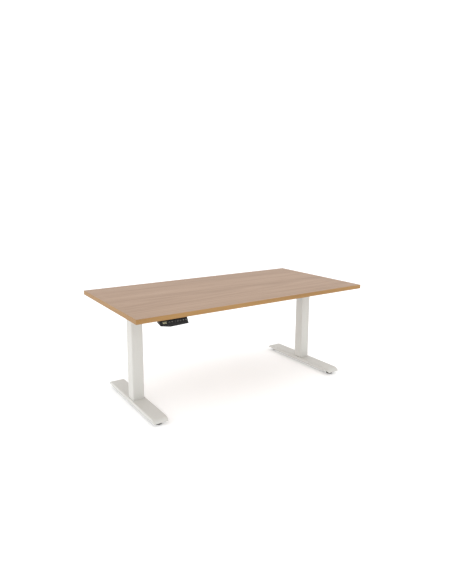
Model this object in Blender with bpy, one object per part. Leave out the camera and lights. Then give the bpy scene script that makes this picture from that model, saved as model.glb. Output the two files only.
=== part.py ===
"""Height adjustable standing desk with two three-stage lifting columns.

Metres, +Z up, +X along the desk's width, the user sits on the -Y side.
The origin is on the floor, under the middle of the whole desk. The desk stands
at its lowest height, where every column is closed.
"""

from math import atan2, cos, pi, sin

import bmesh
import bpy
from mathutils import Matrix, Vector

# Overall sizes
DESK_WIDTH = 1.600
DESK_DEPTH = 0.800
TOP_THICKNESS = 0.025
LOW_HEIGHT = 0.620
LEG_SPACING = 1.294          # between the two column axes
LEG_SETBACK = -0.012         # column axes in front of the tabletop's middle
GAP = 0.0003                 # between pieces that touch

# Feet
FOOT_LENGTH = 0.652
FOOT_WIDTH = 0.086
FOOT_TOP = 0.040
FOOT_SKIRT = 0.016           # lower edge of the side skirts
SKIRT_START = 0.075          # where the skirts' lower edge is level, from the foot's end
ARCH = 0.0235                # skirts' lower edge over a glide
ARCH_START = 0.026           # its highest point, from the foot's end
NOSE_TIP = 0.0185            # lower edge of the foot's end
NOSE = (                     # rounded end: distance from the end and height, from the tip up
    (0.000, 0.0215),
    (0.007, 0.0300),
    (0.017, 0.0365),
    (0.030, FOOT_TOP),
)
FOOT_SHEET = 0.003
BOSS_RADIUS = 0.009
BOSS_HEIGHT = 0.012
GLIDE_INSET = 0.040
GLIDE_RADIUS = 0.021
GLIDE_DISC = 0.010
GLIDE_EDGE = 0.002           # chamfer on the tread
GLIDE_CROWN = 0.003          # height of the disc's sloping crown
GLIDE_CROWN_WIDTH = 0.006
GLIDE_STUD_RADIUS = 0.004
STUD_CLEARANCE = 0.0004
GLIDE_TOP_MARGIN = 0.001

# Columns
OUTER_SIZE = 0.070
TUBE_WALL = 0.0015
TUBE_CORNER = 0.006
CORNER_STEPS = 3
COLLAR_SKIRT = 0.0007        # thickness of a guide collar's skirt
COLLAR_SKIRT_LENGTH = 0.030
COLLAR_RIM = 0.0025
STAGE_STEP = 0.0035          # each stage stands this much above the one outside it
FLOOR_PLATE = 0.006
STAGE_FLOOR = 0.004
STAGE_LIFT = 0.010           # free space under each inner stage
BOLT_SPREAD = 0.018
FOOT_BOLT_RADIUS = 0.004

# Spindle set of one column
SPINDLE_RADIUS = 0.006
LOWER_SPINDLE_RADIUS = 0.011
LOWER_SPINDLE_BORE = 0.0083
SPINDLE_HEAD_RADIUS = 0.016
SPINDLE_HEAD = 0.0237
THREAD_CLEARANCE = 0.0003
SLEEVE_RADIUS = 0.017
SLEEVE_WALL = 0.003
SLEEVE_TOP = 0.370
NUT_HEIGHT = 0.0217
CARRIER_BORE = 0.0195
CARRIER_RADIUS = 0.0225
CARRIER_TOP = 0.446
CARRIER_FLANGE = 0.006
SPINDLE_FOOT_CLEARANCE = 0.015
UPPER_SPINDLE_FOOT = 0.100
WHEEL_RADIUS = 0.020
WHEEL_HEIGHT = 0.012
JOURNAL_HEIGHT = 0.012

# Rails and side brackets under the tabletop
BRACKET_SHEET = 0.003
BRACKET_FLANGE = 0.045
BRACKET_TAB = 0.109          # reach of the tab that lies on the rails
BRACKET_TAB_WIDTH = 0.150
BRACKET_FRONT = 0.283        # reach in front of the column axis
BRACKET_REAR = 0.282
BRACKET_DEPTH = 0.0615       # below the tabletop, at the column
BRACKET_END = 0.009
BRACKET_FOOT = 0.110         # length of its lower edge
BRACKET_CLEARANCE = 0.008    # outer face from the outer tube's face
RAIL_SHEET = 0.002
RAIL_HEIGHT = 0.050
RAIL_BEAD = 0.015            # height of the pressed-out lower band
RAIL_BEAD_OUT = 0.002
RAIL_FACE = 0.066            # upper front face from the column axis
RAIL_LIP = 0.040             # flange tips from the column axis
RAIL_END_GAP = 0.0005
RAIL_INNER_END = 0.165       # where a side rail ends, from the desk's middle
CENTRE_RAIL_HEIGHT = 0.030
CENTRE_RAIL_HALF = 0.420
HEAD_LENGTH = 0.072
HEAD_FLOOR = 0.0053
HEAD_ROOF = 0.0041
HEAD_CAVITY_RADIUS = 0.024
HEAD_SPINDLE_HOLE = 0.008
MOTOR_RADIUS = 0.021
MOTOR_LENGTH = 0.105
MOTOR_SHAFT_RADIUS = 0.004
MOTOR_SHAFT_HOLE = 0.006
MOTOR_CAP = 0.012
MOTOR_CAP_STEP = 0.0015
FRAME_BOLT_RADIUS = 0.003
FRAME_BOLT_LENGTH = 0.012
HEAD_BOLT_SPREAD = 0.022
RAIL_BOLTS = (0.250, 0.380)
RAIL_HOLES = (0.205, 0.425, 0.460)
RAIL_HOLE_RADIUS = 0.004

# Tabletop
BAND_THICKNESS = 0.002
SCREW_RADIUS = 0.002
SCREW_DEPTH = 0.015
SCREW_CLEARANCE = 0.0006
BRACKET_SCREW_INSET = 0.020
BRACKET_SCREW_X = 0.008      # end screws, outside the column axis
RAIL_SCREW_X = 0.054         # rail screws, inside the column axis

# Control box
BOX_START = 0.070
BOX_LENGTH = 0.264
BOX_WIDTH = 0.068
BOX_HEIGHT = 0.042
BOX_DROP = 0.005             # below the tabletop
BOX_WALL = 0.002
EAR_LENGTH = 0.018
EAR_WIDTH = 0.020
SOCKET_WIDTH = 0.014
SOCKET_HEIGHT = 0.010
BOARD_THICKNESS = 0.0016
BOARD_DROP = 0.036
SOCKET_DROP = -0.0215        # sockets' middle below the tabletop
SOCKETS = (("left", -0.021), ("left", 0.021), ("right", -0.021), ("right", 0.021))
BOARD_BLOCKS = (             # start, side shift, length, width and height of each block
    (0.030, -0.012, 0.040, 0.030, 0.024),
    (0.090, 0.010, 0.026, 0.026, 0.018),
    (0.140, -0.014, 0.018, 0.018, 0.022),
    (0.190, 0.012, 0.034, 0.016, 0.014),
)

# Handset
HANDSET_LEFT = 0.126         # from the tabletop's left edge
HANDSET_WIDTH = 0.158
HANDSET_DROP = 0.0347        # height at its deepest point
HANDSET_DROP_LEFT = 0.0258
HANDSET_DROP_RIGHT = 0.0320
HANDSET_DEEPEST = 0.052      # deepest point from the handset's left end
HANDSET_SLOPE = 0.615        # how far the face leans out, for each metre down
HANDSET_INSET = 0.010        # face's upper edge behind the tabletop's front edge
HANDSET_BACK = 0.024
HANDSET_BACK_DROP = 0.016
PANEL_MARGIN = 0.0030
PANEL_HEIGHT = 0.0250
PANEL_THICKNESS = 0.0015
BUTTON_COUNT = 7
BUTTON_PITCH = 0.016
BUTTON_WIDTH = 0.0125
BUTTON_HEIGHT = 0.0125
BUTTON_THICKNESS = 0.0030
BUTTON_PROUD = 0.0010
BUTTON_CLEARANCE = 0.0003
BUTTON_CAVITY = 0.0060
CAVITY_MARGIN = 0.0050
FIRST_BUTTON = 0.052         # from the handset's left end
DISPLAY_WIDTH = 0.026
DISPLAY_CENTRE = 0.0265
WINDOW_CUT = 0.010           # how far the windows' cutters reach past the panel
BUTTON_NAMES = (
    "button_up",
    "button_down",
    "button_preset_1",
    "button_preset_2",
    "button_preset_3",
    "button_preset_4",
    "button_memory",
)

# Leads
HANDSET_LEAD = 0.0050
MOTOR_LEAD = 0.0060
LEAD_SIDES = 2
LEAD_SPACING = 2.6           # between a lead's points, in diameters
CLIP_HOLE_CLEARANCE = 0.0010
CLIP_LENGTH = 0.012
CLIPS = (-0.135, -0.010)     # cable saddles under the front centre rail
CLIP_FRONT_Y = -0.0720
CLIP_REAR_Y = -0.0090
CLIP_BOTTOM = -0.0520        # these places are from the tabletop's middle and underside
HANDSET_LEAD_PLACE = (-0.044, -0.0460)
MOTOR_LEAD_PLACE = (-0.016, -0.0460)
HANDSET_CLIP_Y = -0.240
HANDSET_LEAD_DROP = 0.0095
LEAD_CLEARANCE = 0.0064      # handset lead's middle below the side rails

# Places worked out from the sizes above
HANDSET_REACH = HANDSET_DROP * HANDSET_SLOPE - HANDSET_INSET
DESK_Y = HANDSET_REACH / 2
LEG_X = LEG_SPACING / 2
LEG_Y = DESK_Y + LEG_SETBACK
BRACKET_HALF_WIDTH = OUTER_SIZE / 2 + BRACKET_CLEARANCE  # outer face from the column axis
UNDERSIDE = LOW_HEIGHT - TOP_THICKNESS
BRACKET_TOP = UNDERSIDE - GAP
RAIL_TOP = BRACKET_TOP - BRACKET_SHEET - GAP
RAIL_BOTTOM = RAIL_TOP - RAIL_HEIGHT
HEAD_TOP = RAIL_TOP - RAIL_SHEET - GAP
HEAD_BOTTOM = RAIL_BOTTOM + RAIL_SHEET + GAP
INNER_TOP = HEAD_BOTTOM - GAP
MIDDLE_TOP = INNER_TOP - STAGE_STEP - COLLAR_RIM - GAP
OUTER_TOP = MIDDLE_TOP - STAGE_STEP
OUTER_BOTTOM = FOOT_TOP + GAP
STAGE_GAP = COLLAR_SKIRT + 2 * GAP
MIDDLE_SIZE = OUTER_SIZE - 2 * (TUBE_WALL + STAGE_GAP)
INNER_SIZE = MIDDLE_SIZE - 2 * (TUBE_WALL + STAGE_GAP)
MIDDLE_BOTTOM = OUTER_BOTTOM + STAGE_LIFT
INNER_BOTTOM = MIDDLE_BOTTOM + STAGE_LIFT
FACE_ANGLE = atan2(1.0, HANDSET_SLOPE)

MATERIALS = {
    "white_steel": ((0.700, 0.700, 0.680), 0.45, 0.0),
    "zinc_steel": ((0.560, 0.570, 0.580), 0.30, 1.0),
    "brass": ((0.720, 0.520, 0.240), 0.35, 1.0),
    "grey_plastic": ((0.560, 0.560, 0.545), 0.50, 0.0),
    "black_plastic": ((0.020, 0.020, 0.021), 0.45, 0.0),
    "gloss_panel": ((0.015, 0.015, 0.016), 0.15, 0.0),
    "display_lens": ((0.050, 0.055, 0.045), 0.10, 0.0),
    "button_rubber": ((0.030, 0.030, 0.032), 0.60, 0.0),
    "black_rubber": ((0.018, 0.018, 0.018), 0.75, 0.0),
    "motor_steel": ((0.320, 0.325, 0.330), 0.40, 1.0),
    "cast_alloy": ((0.420, 0.425, 0.430), 0.50, 1.0),
    "board_green": ((0.030, 0.150, 0.060), 0.50, 0.0),
    "wood_face": ((0.500, 0.370, 0.285), 0.50, 0.0),
    "wood_band": ((0.560, 0.310, 0.110), 0.45, 0.0),
}


def clear_scene():
    """Remove everything that the scene holds."""
    for thing in list(bpy.data.objects):
        bpy.data.objects.remove(thing, do_unlink=True)


def material(name):
    """Return the named material, made once."""
    found = bpy.data.materials.get(name)
    if found:
        return found
    colour, roughness, metallic = MATERIALS[name]
    made = bpy.data.materials.new(name)
    made.use_nodes = True
    shader = made.node_tree.nodes["Principled BSDF"]
    shader.inputs["Base Color"].default_value = (*colour, 1.0)
    shader.inputs["Roughness"].default_value = roughness
    shader.inputs["Metallic"].default_value = metallic
    return made


def add_empty(name, place, turn=(0.0, 0.0, 0.0)):
    """Add an empty that stands for a moving body's axis."""
    empty = bpy.data.objects.new(name, None)
    empty.location = place
    empty.rotation_euler = turn
    bpy.context.scene.collection.objects.link(empty)
    return empty


def add_part(name, shape, finish, place=(0.0, 0.0, 0.0), parent=None, smooth=False):
    """Turn a bmesh into a named object; its place is under its parent, if it has one."""
    bmesh.ops.recalc_face_normals(shape, faces=shape.faces)
    mesh = bpy.data.meshes.new(name)
    shape.to_mesh(mesh)
    shape.free()
    mesh.materials.append(material(finish))
    if smooth:
        mesh.shade_smooth()
        mesh.set_sharp_from_angle(angle=pi / 6)
    part = bpy.data.objects.new(name, mesh)
    part.location = place
    part.parent = parent
    bpy.context.scene.collection.objects.link(part)
    return part


def add_boolean(part, name, shape, operation="DIFFERENCE"):
    """Cut a shape out of a part, or join it on; the shape is in the part's own frame."""
    tool = add_part(name, shape, "zinc_steel", part.location, part.parent)
    tool.rotation_euler = part.rotation_euler
    tool.hide_render = True
    tool.display_type = "WIRE"
    step = part.modifiers.new(name, "BOOLEAN")
    step.operation = operation
    step.object = tool
    step.solver = "EXACT"


def add_box(shape, low, high):
    """Add a box between two corners."""
    low = Vector(low)
    high = Vector(high)
    size = Matrix.Diagonal((high - low).to_4d())
    size[3][3] = 1.0
    bmesh.ops.create_cube(shape, size=1.0, matrix=Matrix.Translation((low + high) / 2) @ size)


AXIS_TURNS = {
    "X": Matrix.Rotation(pi / 2, 4, "Y"),
    "Y": Matrix.Rotation(-pi / 2, 4, "X"),
    "Z": Matrix.Identity(4),
}


def add_rod(shape, radius, start, length, axis="Z", sides=24):
    """Add a round bar from a start point along +X, +Y or +Z."""
    turn = AXIS_TURNS[axis]
    middle = Vector(start) + turn @ Vector((0.0, 0.0, length / 2))
    bmesh.ops.create_cone(
        shape,
        cap_ends=True,
        segments=sides,
        radius1=radius,
        radius2=radius,
        depth=length,
        matrix=Matrix.Translation(middle) @ turn,
    )


def add_prism(shape, outline, start, end):
    """Extrude a closed outline of (y, z) points along X, from start to end."""
    verts = [shape.verts.new((start, y, z)) for y, z in outline]
    face = shape.faces.new(verts)
    swept = bmesh.ops.extrude_face_region(shape, geom=[face])
    moved = [item for item in swept["geom"] if isinstance(item, bmesh.types.BMVert)]
    bmesh.ops.translate(shape, verts=moved, vec=(end - start, 0.0, 0.0))


def rounded_square(size, corner):
    """Points of a square with round corners, centred on the axis."""
    reach = size / 2 - corner
    points = []
    for quarter in range(4):
        centre = Matrix.Rotation(quarter * pi / 2, 2) @ Vector((reach, reach))
        for step in range(CORNER_STEPS + 1):
            angle = quarter * pi / 2 + step * pi / 2 / CORNER_STEPS
            points.append((centre.x + corner * cos(angle), centre.y + corner * sin(angle)))
    return points


def circle(radius, sides):
    """Points of a circle that line up with a rounded square's points."""
    return [(radius * cos(2 * pi * i / sides), radius * sin(2 * pi * i / sides)) for i in range(sides)]


def add_column(shape, outline, bottom, top):
    """Extrude a closed outline of (x, y) points upwards."""
    lower = [shape.verts.new((x, y, bottom)) for x, y in outline]
    upper = [shape.verts.new((x, y, top)) for x, y in outline]
    count = len(outline)
    shape.faces.new(reversed(lower))
    shape.faces.new(upper)
    for i in range(count):
        j = (i + 1) % count
        shape.faces.new((lower[i], lower[j], upper[j], upper[i]))


def add_ring(shape, outer, inner, bottom, top):
    """Add an upright hollow column between two outlines with equally many points."""
    count = len(outer)
    loops = []
    for outline, height in ((outer, bottom), (outer, top), (inner, top), (inner, bottom)):
        loops.append([shape.verts.new((x, y, height)) for x, y in outline])
    for k in range(4):
        near = loops[k]
        far = loops[(k + 1) % 4]
        for i in range(count):
            j = (i + 1) % count
            shape.faces.new((near[i], near[j], far[j], far[i]))


# Feet


def inner_nose():
    """The rounded end moved inwards by the sheet's thickness."""
    tilts = [atan2(far_z - z, far - near) for (near, z), (far, far_z) in zip(NOSE, NOSE[1:])]
    tilts.append(0.0)
    tip, height = NOSE[0]
    points = [(tip + FOOT_SHEET / sin(tilts[0]), height)]
    for (distance, height), before, after in zip(NOSE[1:], tilts, tilts[1:]):
        tilt = (before + after) / 2
        reach = FOOT_SHEET / cos((before - after) / 2)
        points.append((distance + reach * sin(tilt), height - reach * cos(tilt)))
    return points


def build_foot(side, base):
    """A folded steel foot, open below, with two threaded bosses for its glides."""
    half = FOOT_LENGTH / 2
    under = FOOT_SKIRT - FOOT_SHEET
    nose = [(half, NOSE_TIP)] + [(half - distance, height) for distance, height in NOSE]
    outline = [(-y, z) for y, z in nose] + nose[::-1]
    outline += [
        (half - ARCH_START, ARCH),
        (half - SKIRT_START, FOOT_SKIRT),
        (-half + SKIRT_START, FOOT_SKIRT),
        (-half + ARCH_START, ARCH),
    ]
    shape = bmesh.new()
    add_prism(shape, outline, -FOOT_WIDTH / 2, FOOT_WIDTH / 2)
    foot = add_part("foot_" + side.name, shape, "white_steel", (side.x, LEG_Y, 0.0), base)

    roof = FOOT_TOP - FOOT_SHEET
    inside = [(half - distance, height) for distance, height in inner_nose()]
    inside.insert(0, (inside[0][0], under))
    hollow = bmesh.new()
    inner = FOOT_WIDTH / 2 - FOOT_SHEET
    add_prism(hollow, [(-y, z) for y, z in inside] + inside[::-1], -inner, inner)
    add_boolean(foot, foot.name + "_hollow", hollow)

    bosses = bmesh.new()
    holes = bmesh.new()
    for place in (-half + GLIDE_INSET, half - GLIDE_INSET):
        height = BOSS_HEIGHT + FOOT_SHEET / 2
        add_rod(bosses, BOSS_RADIUS, (0.0, place, roof - BOSS_HEIGHT), height, sides=16)
        bore = GLIDE_STUD_RADIUS + STUD_CLEARANCE
        add_rod(holes, bore, (0.0, place, under), roof - under, sides=16)
    for x, y in bolt_places():
        add_rod(holes, FOOT_BOLT_RADIUS + STUD_CLEARANCE, (x, y, under), FOOT_TOP, sides=12)
    add_boolean(foot, foot.name + "_bosses", bosses, "UNION")
    add_boolean(foot, foot.name + "_holes", holes)


def bolt_places():
    """The four bolts that hold a column on its foot, from the column's axis."""
    return [(x * BOLT_SPREAD, y * BOLT_SPREAD) for x in (-1, 1) for y in (-1, 1)]


def build_glides(base):
    """Four levelling glides, each a disc on a threaded stud."""
    stud = FOOT_TOP - FOOT_SHEET - GLIDE_TOP_MARGIN - GLIDE_DISC
    for side in SIDES:
        for end, sign in (("front", -1), ("rear", 1)):
            name = "glide_" + end + "_" + side.name
            y = LEG_Y + sign * (FOOT_LENGTH / 2 - GLIDE_INSET)
            axis = add_empty(name + "_axis", (side.x, y, 0.0))
            axis.parent = base
            shape = bmesh.new()
            add_ring_profile(
                shape,
                (
                    (0.0, 0.0),
                    (GLIDE_RADIUS - GLIDE_EDGE, 0.0),
                    (GLIDE_RADIUS, GLIDE_EDGE),
                    (GLIDE_RADIUS, GLIDE_DISC - GLIDE_CROWN),
                    (GLIDE_RADIUS - GLIDE_CROWN_WIDTH, GLIDE_DISC),
                    (GLIDE_STUD_RADIUS, GLIDE_DISC),
                    (GLIDE_STUD_RADIUS, GLIDE_DISC + stud),
                    (0.0, GLIDE_DISC + stud),
                ),
                24,
            )
            add_part(name, shape, "black_rubber", parent=axis, smooth=True)


def add_ring_profile(shape, profile, sides, offset=(0.0, 0.0, 0.0)):
    """Turn a profile of (radius, height) points about the upright axis through offset."""
    centre = Vector(offset)
    loops = []
    for radius, height in profile:
        if radius == 0.0:
            loops.append([shape.verts.new(centre + Vector((0.0, 0.0, height)))])
        else:
            loops.append([
                shape.verts.new(centre + Vector((x, y, height))) for x, y in circle(radius, sides)
            ])
    pairs = list(zip(loops, loops[1:]))
    if profile[0][0] != 0.0:
        pairs.append((loops[-1], loops[0]))
    for near, far in pairs:
        for i in range(sides):
            j = (i + 1) % sides
            corners = [near[i % len(near)], near[j % len(near)], far[j % len(far)], far[i % len(far)]]
            shape.faces.new(list(dict.fromkeys(corners)))


# Columns


def build_outer_tube(side, base):
    """The fixed outer tube with its welded floor plate."""
    shape = bmesh.new()
    add_column(shape, rounded_square(OUTER_SIZE, TUBE_CORNER), 0.0, OUTER_TOP - OUTER_BOTTOM)
    tube = add_part(
        "outer_tube_" + side.name, shape, "white_steel", (side.x, LEG_Y, OUTER_BOTTOM), base, True
    )
    bore = bmesh.new()
    inside = rounded_square(OUTER_SIZE - 2 * TUBE_WALL, TUBE_CORNER - TUBE_WALL)
    add_column(bore, inside, FLOOR_PLATE, OUTER_TOP)
    add_boolean(tube, tube.name + "_bore", bore)
    holes = bmesh.new()
    for x, y in bolt_places():
        add_rod(holes, FOOT_BOLT_RADIUS + STUD_CLEARANCE, (x, y, -FLOOR_PLATE), 3 * FLOOR_PLATE, sides=12)
    add_boolean(tube, tube.name + "_holes", holes)


def build_collar(name, side, rim_size, moving_size, top, parent):
    """A plastic guide collar: a rim on the tube's end and a skirt inside its bore."""
    bore = rounded_square(moving_size + 2 * GAP, TUBE_CORNER - TUBE_WALL / 2)
    rim = rounded_square(rim_size, TUBE_CORNER)
    skirt = rounded_square(moving_size + 2 * (GAP + COLLAR_SKIRT), TUBE_CORNER - TUBE_WALL / 2)
    levels = (
        (rim, GAP),
        (rim, GAP + COLLAR_RIM),
        (bore, GAP + COLLAR_RIM),
        (bore, -COLLAR_SKIRT_LENGTH),
        (skirt, -COLLAR_SKIRT_LENGTH),
        (skirt, GAP),
    )
    shape = bmesh.new()
    loops = []
    for outline, height in levels:
        loops.append([shape.verts.new((x, y, height)) for x, y in outline])
    for k, near in enumerate(loops):
        far = loops[(k + 1) % len(loops)]
        for i in range(len(near)):
            j = (i + 1) % len(near)
            shape.faces.new((near[i], near[j], far[j], far[i]))
    place = (0.0, 0.0, top) if parent.name.startswith("middle") else (side.x, LEG_Y, top)
    add_part(name + "_" + side.name, shape, "grey_plastic", place, parent, True)


def build_middle_tube(side, middle):
    """The middle tube, its floor and the inner carrier tube that stands on it."""
    height = MIDDLE_TOP - MIDDLE_BOTTOM
    carrier = CARRIER_TOP - MIDDLE_BOTTOM
    sides = 4 * (CORNER_STEPS + 1)
    inside = rounded_square(MIDDLE_SIZE - 2 * TUBE_WALL, TUBE_CORNER - TUBE_WALL)
    shape = bmesh.new()
    add_column(shape, rounded_square(MIDDLE_SIZE, TUBE_CORNER), 0.0, height)
    place = (0.0, 0.0, MIDDLE_BOTTOM)
    tube = add_part("middle_tube_" + side.name, shape, "white_steel", place, middle, True)
    upper = bmesh.new()
    add_column(upper, inside, carrier, height + STAGE_FLOOR)
    add_boolean(tube, tube.name + "_upper_bore", upper)
    around = bmesh.new()
    add_ring(around, inside, circle(CARRIER_RADIUS, sides), STAGE_FLOOR, carrier + STAGE_FLOOR)
    add_boolean(tube, tube.name + "_ring_bore", around)
    within = bmesh.new()
    add_rod(within, CARRIER_BORE, (0.0, 0.0, -STAGE_FLOOR), carrier - CARRIER_FLANGE + STAGE_FLOOR)
    add_boolean(tube, tube.name + "_carrier_bore", within)
    hole = bmesh.new()
    spindle = LOWER_SPINDLE_RADIUS + 2 * THREAD_CLEARANCE
    add_rod(hole, spindle, (0.0, 0.0, carrier - 2 * CARRIER_FLANGE), 3 * CARRIER_FLANGE)
    add_boolean(tube, tube.name + "_carrier_hole", hole)


def build_inner_tube(side, lift):
    """The inner tube, which carries the gear head on its closed top."""
    height = INNER_TOP - INNER_BOTTOM
    shape = bmesh.new()
    add_column(shape, rounded_square(INNER_SIZE, TUBE_CORNER), 0.0, height)
    place = (side.x, LEG_Y, INNER_BOTTOM)
    tube = add_part("inner_tube_" + side.name, shape, "white_steel", place, lift, True)
    bore = bmesh.new()
    inside = rounded_square(INNER_SIZE - 2 * TUBE_WALL, TUBE_CORNER - TUBE_WALL)
    add_column(bore, inside, -STAGE_FLOOR, height - STAGE_FLOOR)
    add_boolean(tube, tube.name + "_bore", bore)
    hole = bmesh.new()
    add_rod(hole, HEAD_SPINDLE_HOLE, (0.0, 0.0, height - 2 * STAGE_FLOOR), 3 * STAGE_FLOOR)
    add_boolean(tube, tube.name + "_hole", hole)


def build_spindle_set(side, base, lower_axis, upper_axis):
    """Sleeve, fixed nut, hollow lower spindle and upper spindle of one column."""
    floor = OUTER_BOTTOM + FLOOR_PLATE
    place = (side.x, LEG_Y, 0.0)
    inside = SLEEVE_RADIUS - SLEEVE_WALL
    sleeve = bmesh.new()
    start = floor + GAP
    profile = ((inside, start), (SLEEVE_RADIUS, start), (SLEEVE_RADIUS, SLEEVE_TOP), (inside, SLEEVE_TOP))
    add_ring_profile(sleeve, profile, 24)
    add_part("spindle_sleeve_" + side.name, sleeve, "zinc_steel", place, base, True)

    nut = bmesh.new()
    hole = LOWER_SPINDLE_RADIUS + THREAD_CLEARANCE
    bottom = SLEEVE_TOP + GAP
    top = bottom + NUT_HEIGHT
    add_ring_profile(nut, ((hole, bottom), (SLEEVE_RADIUS, bottom), (SLEEVE_RADIUS, top), (hole, top)), 24)
    add_part("lower_nut_" + side.name, nut, "brass", place, base, True)

    lower = bmesh.new()
    head = CARRIER_TOP + GAP
    foot = floor + SPINDLE_FOOT_CLEARANCE
    thread = SPINDLE_RADIUS + THREAD_CLEARANCE
    add_ring_profile(
        lower,
        (
            (LOWER_SPINDLE_BORE, foot),
            (LOWER_SPINDLE_RADIUS, foot),
            (LOWER_SPINDLE_RADIUS, head),
            (SPINDLE_HEAD_RADIUS, head),
            (SPINDLE_HEAD_RADIUS, head + SPINDLE_HEAD),
            (thread, head + SPINDLE_HEAD),
            (thread, head + GAP),
            (LOWER_SPINDLE_BORE, head),
        ),
        24,
    )
    add_part("lower_spindle_" + side.name, lower, "zinc_steel", parent=lower_axis, smooth=True)

    upper = bmesh.new()
    wheel = HEAD_BOTTOM + HEAD_FLOOR + STAGE_FLOOR
    hub = wheel + WHEEL_HEIGHT
    add_ring_profile(
        upper,
        (
            (0.0, UPPER_SPINDLE_FOOT),
            (SPINDLE_RADIUS, UPPER_SPINDLE_FOOT),
            (SPINDLE_RADIUS, wheel),
            (WHEEL_RADIUS, wheel),
            (WHEEL_RADIUS, hub),
            (SPINDLE_RADIUS, hub),
            (SPINDLE_RADIUS, hub + JOURNAL_HEIGHT),
            (0.0, hub + JOURNAL_HEIGHT),
        ),
        24,
    )
    add_part("upper_spindle_" + side.name, upper, "zinc_steel", parent=upper_axis, smooth=True)


# Frame under the tabletop


def build_gear_head(side, lift):
    """The gear housing between the rails, on top of the inner tube."""
    half = HEAD_LENGTH / 2
    width = RAIL_FACE - RAIL_SHEET - GAP
    shape = bmesh.new()
    add_box(shape, (-half, -width, HEAD_BOTTOM), (half, width, HEAD_TOP))
    head = add_part("gear_head_" + side.name, shape, "cast_alloy", (side.x, LEG_Y, 0.0), lift)
    cavity = bmesh.new()
    floor = HEAD_BOTTOM + HEAD_FLOOR
    add_rod(cavity, HEAD_CAVITY_RADIUS, (0.0, 0.0, floor), HEAD_TOP - HEAD_ROOF - floor)
    add_boolean(head, head.name + "_cavity", cavity)
    hole = bmesh.new()
    add_rod(hole, HEAD_SPINDLE_HOLE, (0.0, 0.0, HEAD_BOTTOM - HEAD_FLOOR), 3 * HEAD_FLOOR)
    add_boolean(head, head.name + "_spindle_hole", hole)
    shaft = bmesh.new()
    start = 0.0 if side.inward > 0 else -2 * half
    add_rod(shaft, MOTOR_SHAFT_HOLE, (start, 0.0, motor_height()), 2 * half, "X")
    add_boolean(head, head.name + "_shaft_hole", shaft)
    bolts = bmesh.new()
    bore = FRAME_BOLT_RADIUS + STUD_CLEARANCE
    for x in (-HEAD_BOLT_SPREAD, HEAD_BOLT_SPREAD):
        for y in (-width - FRAME_BOLT_LENGTH, width - FRAME_BOLT_LENGTH):
            add_rod(bolts, bore, (x, y, motor_height()), 2 * FRAME_BOLT_LENGTH, "Y", 12)
    add_boolean(head, head.name + "_bolt_holes", bolts)


def motor_height():
    """Height of the motors' axes and of the bolts that hold the rails."""
    return (HEAD_BOTTOM + HEAD_TOP) / 2


def build_motor(side, lift):
    """A round motor on the inner side of its gear head, with its shaft stub and end cap."""
    face = side.x + side.inward * (HEAD_LENGTH / 2 + GAP)
    shape = bmesh.new()
    reach = HEAD_LENGTH / 2 - HEAD_CAVITY_RADIUS
    profile = (
        (0.0, -reach),
        (MOTOR_SHAFT_RADIUS, -reach),
        (MOTOR_SHAFT_RADIUS, 0.0),
        (MOTOR_RADIUS, 0.0),
        (MOTOR_RADIUS, MOTOR_LENGTH - MOTOR_CAP),
        (MOTOR_RADIUS - MOTOR_CAP_STEP, MOTOR_LENGTH - MOTOR_CAP),
        (MOTOR_RADIUS - MOTOR_CAP_STEP, MOTOR_LENGTH),
        (0.0, MOTOR_LENGTH),
    )
    add_ring_profile(shape, profile, 32)
    turn = Matrix.Rotation(side.inward * pi / 2, 4, "Y")
    bmesh.ops.transform(shape, matrix=turn, verts=shape.verts)
    place = (face, LEG_Y, motor_height())
    add_part("motor_" + side.name, shape, "motor_steel", place, lift, True)


def rail_outline(face, lip, bottom, top, bead=0.0):
    """A C-section's (y, z) points; face and lip are signed distances from the column axis."""
    sign = 1.0 if face > lip else -1.0
    sheet = sign * RAIL_SHEET
    out = face + sign * RAIL_BEAD_OUT
    points = [(lip, top), (face, top)]
    if bead:
        points += [(face, bottom + bead), (out, bottom + bead - RAIL_BEAD_OUT), (out, bottom)]
    else:
        points += [(face, bottom)]
    points += [(lip, bottom), (lip, bottom + RAIL_SHEET)]
    if bead:
        points += [
            (out - sheet, bottom + RAIL_SHEET),
            (out - sheet, bottom + bead - RAIL_BEAD_OUT),
            (face - sheet, bottom + bead),
        ]
    else:
        points += [(face - sheet, bottom + RAIL_SHEET)]
    points += [(face - sheet, top - RAIL_SHEET), (lip, top - RAIL_SHEET)]
    return points


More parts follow.
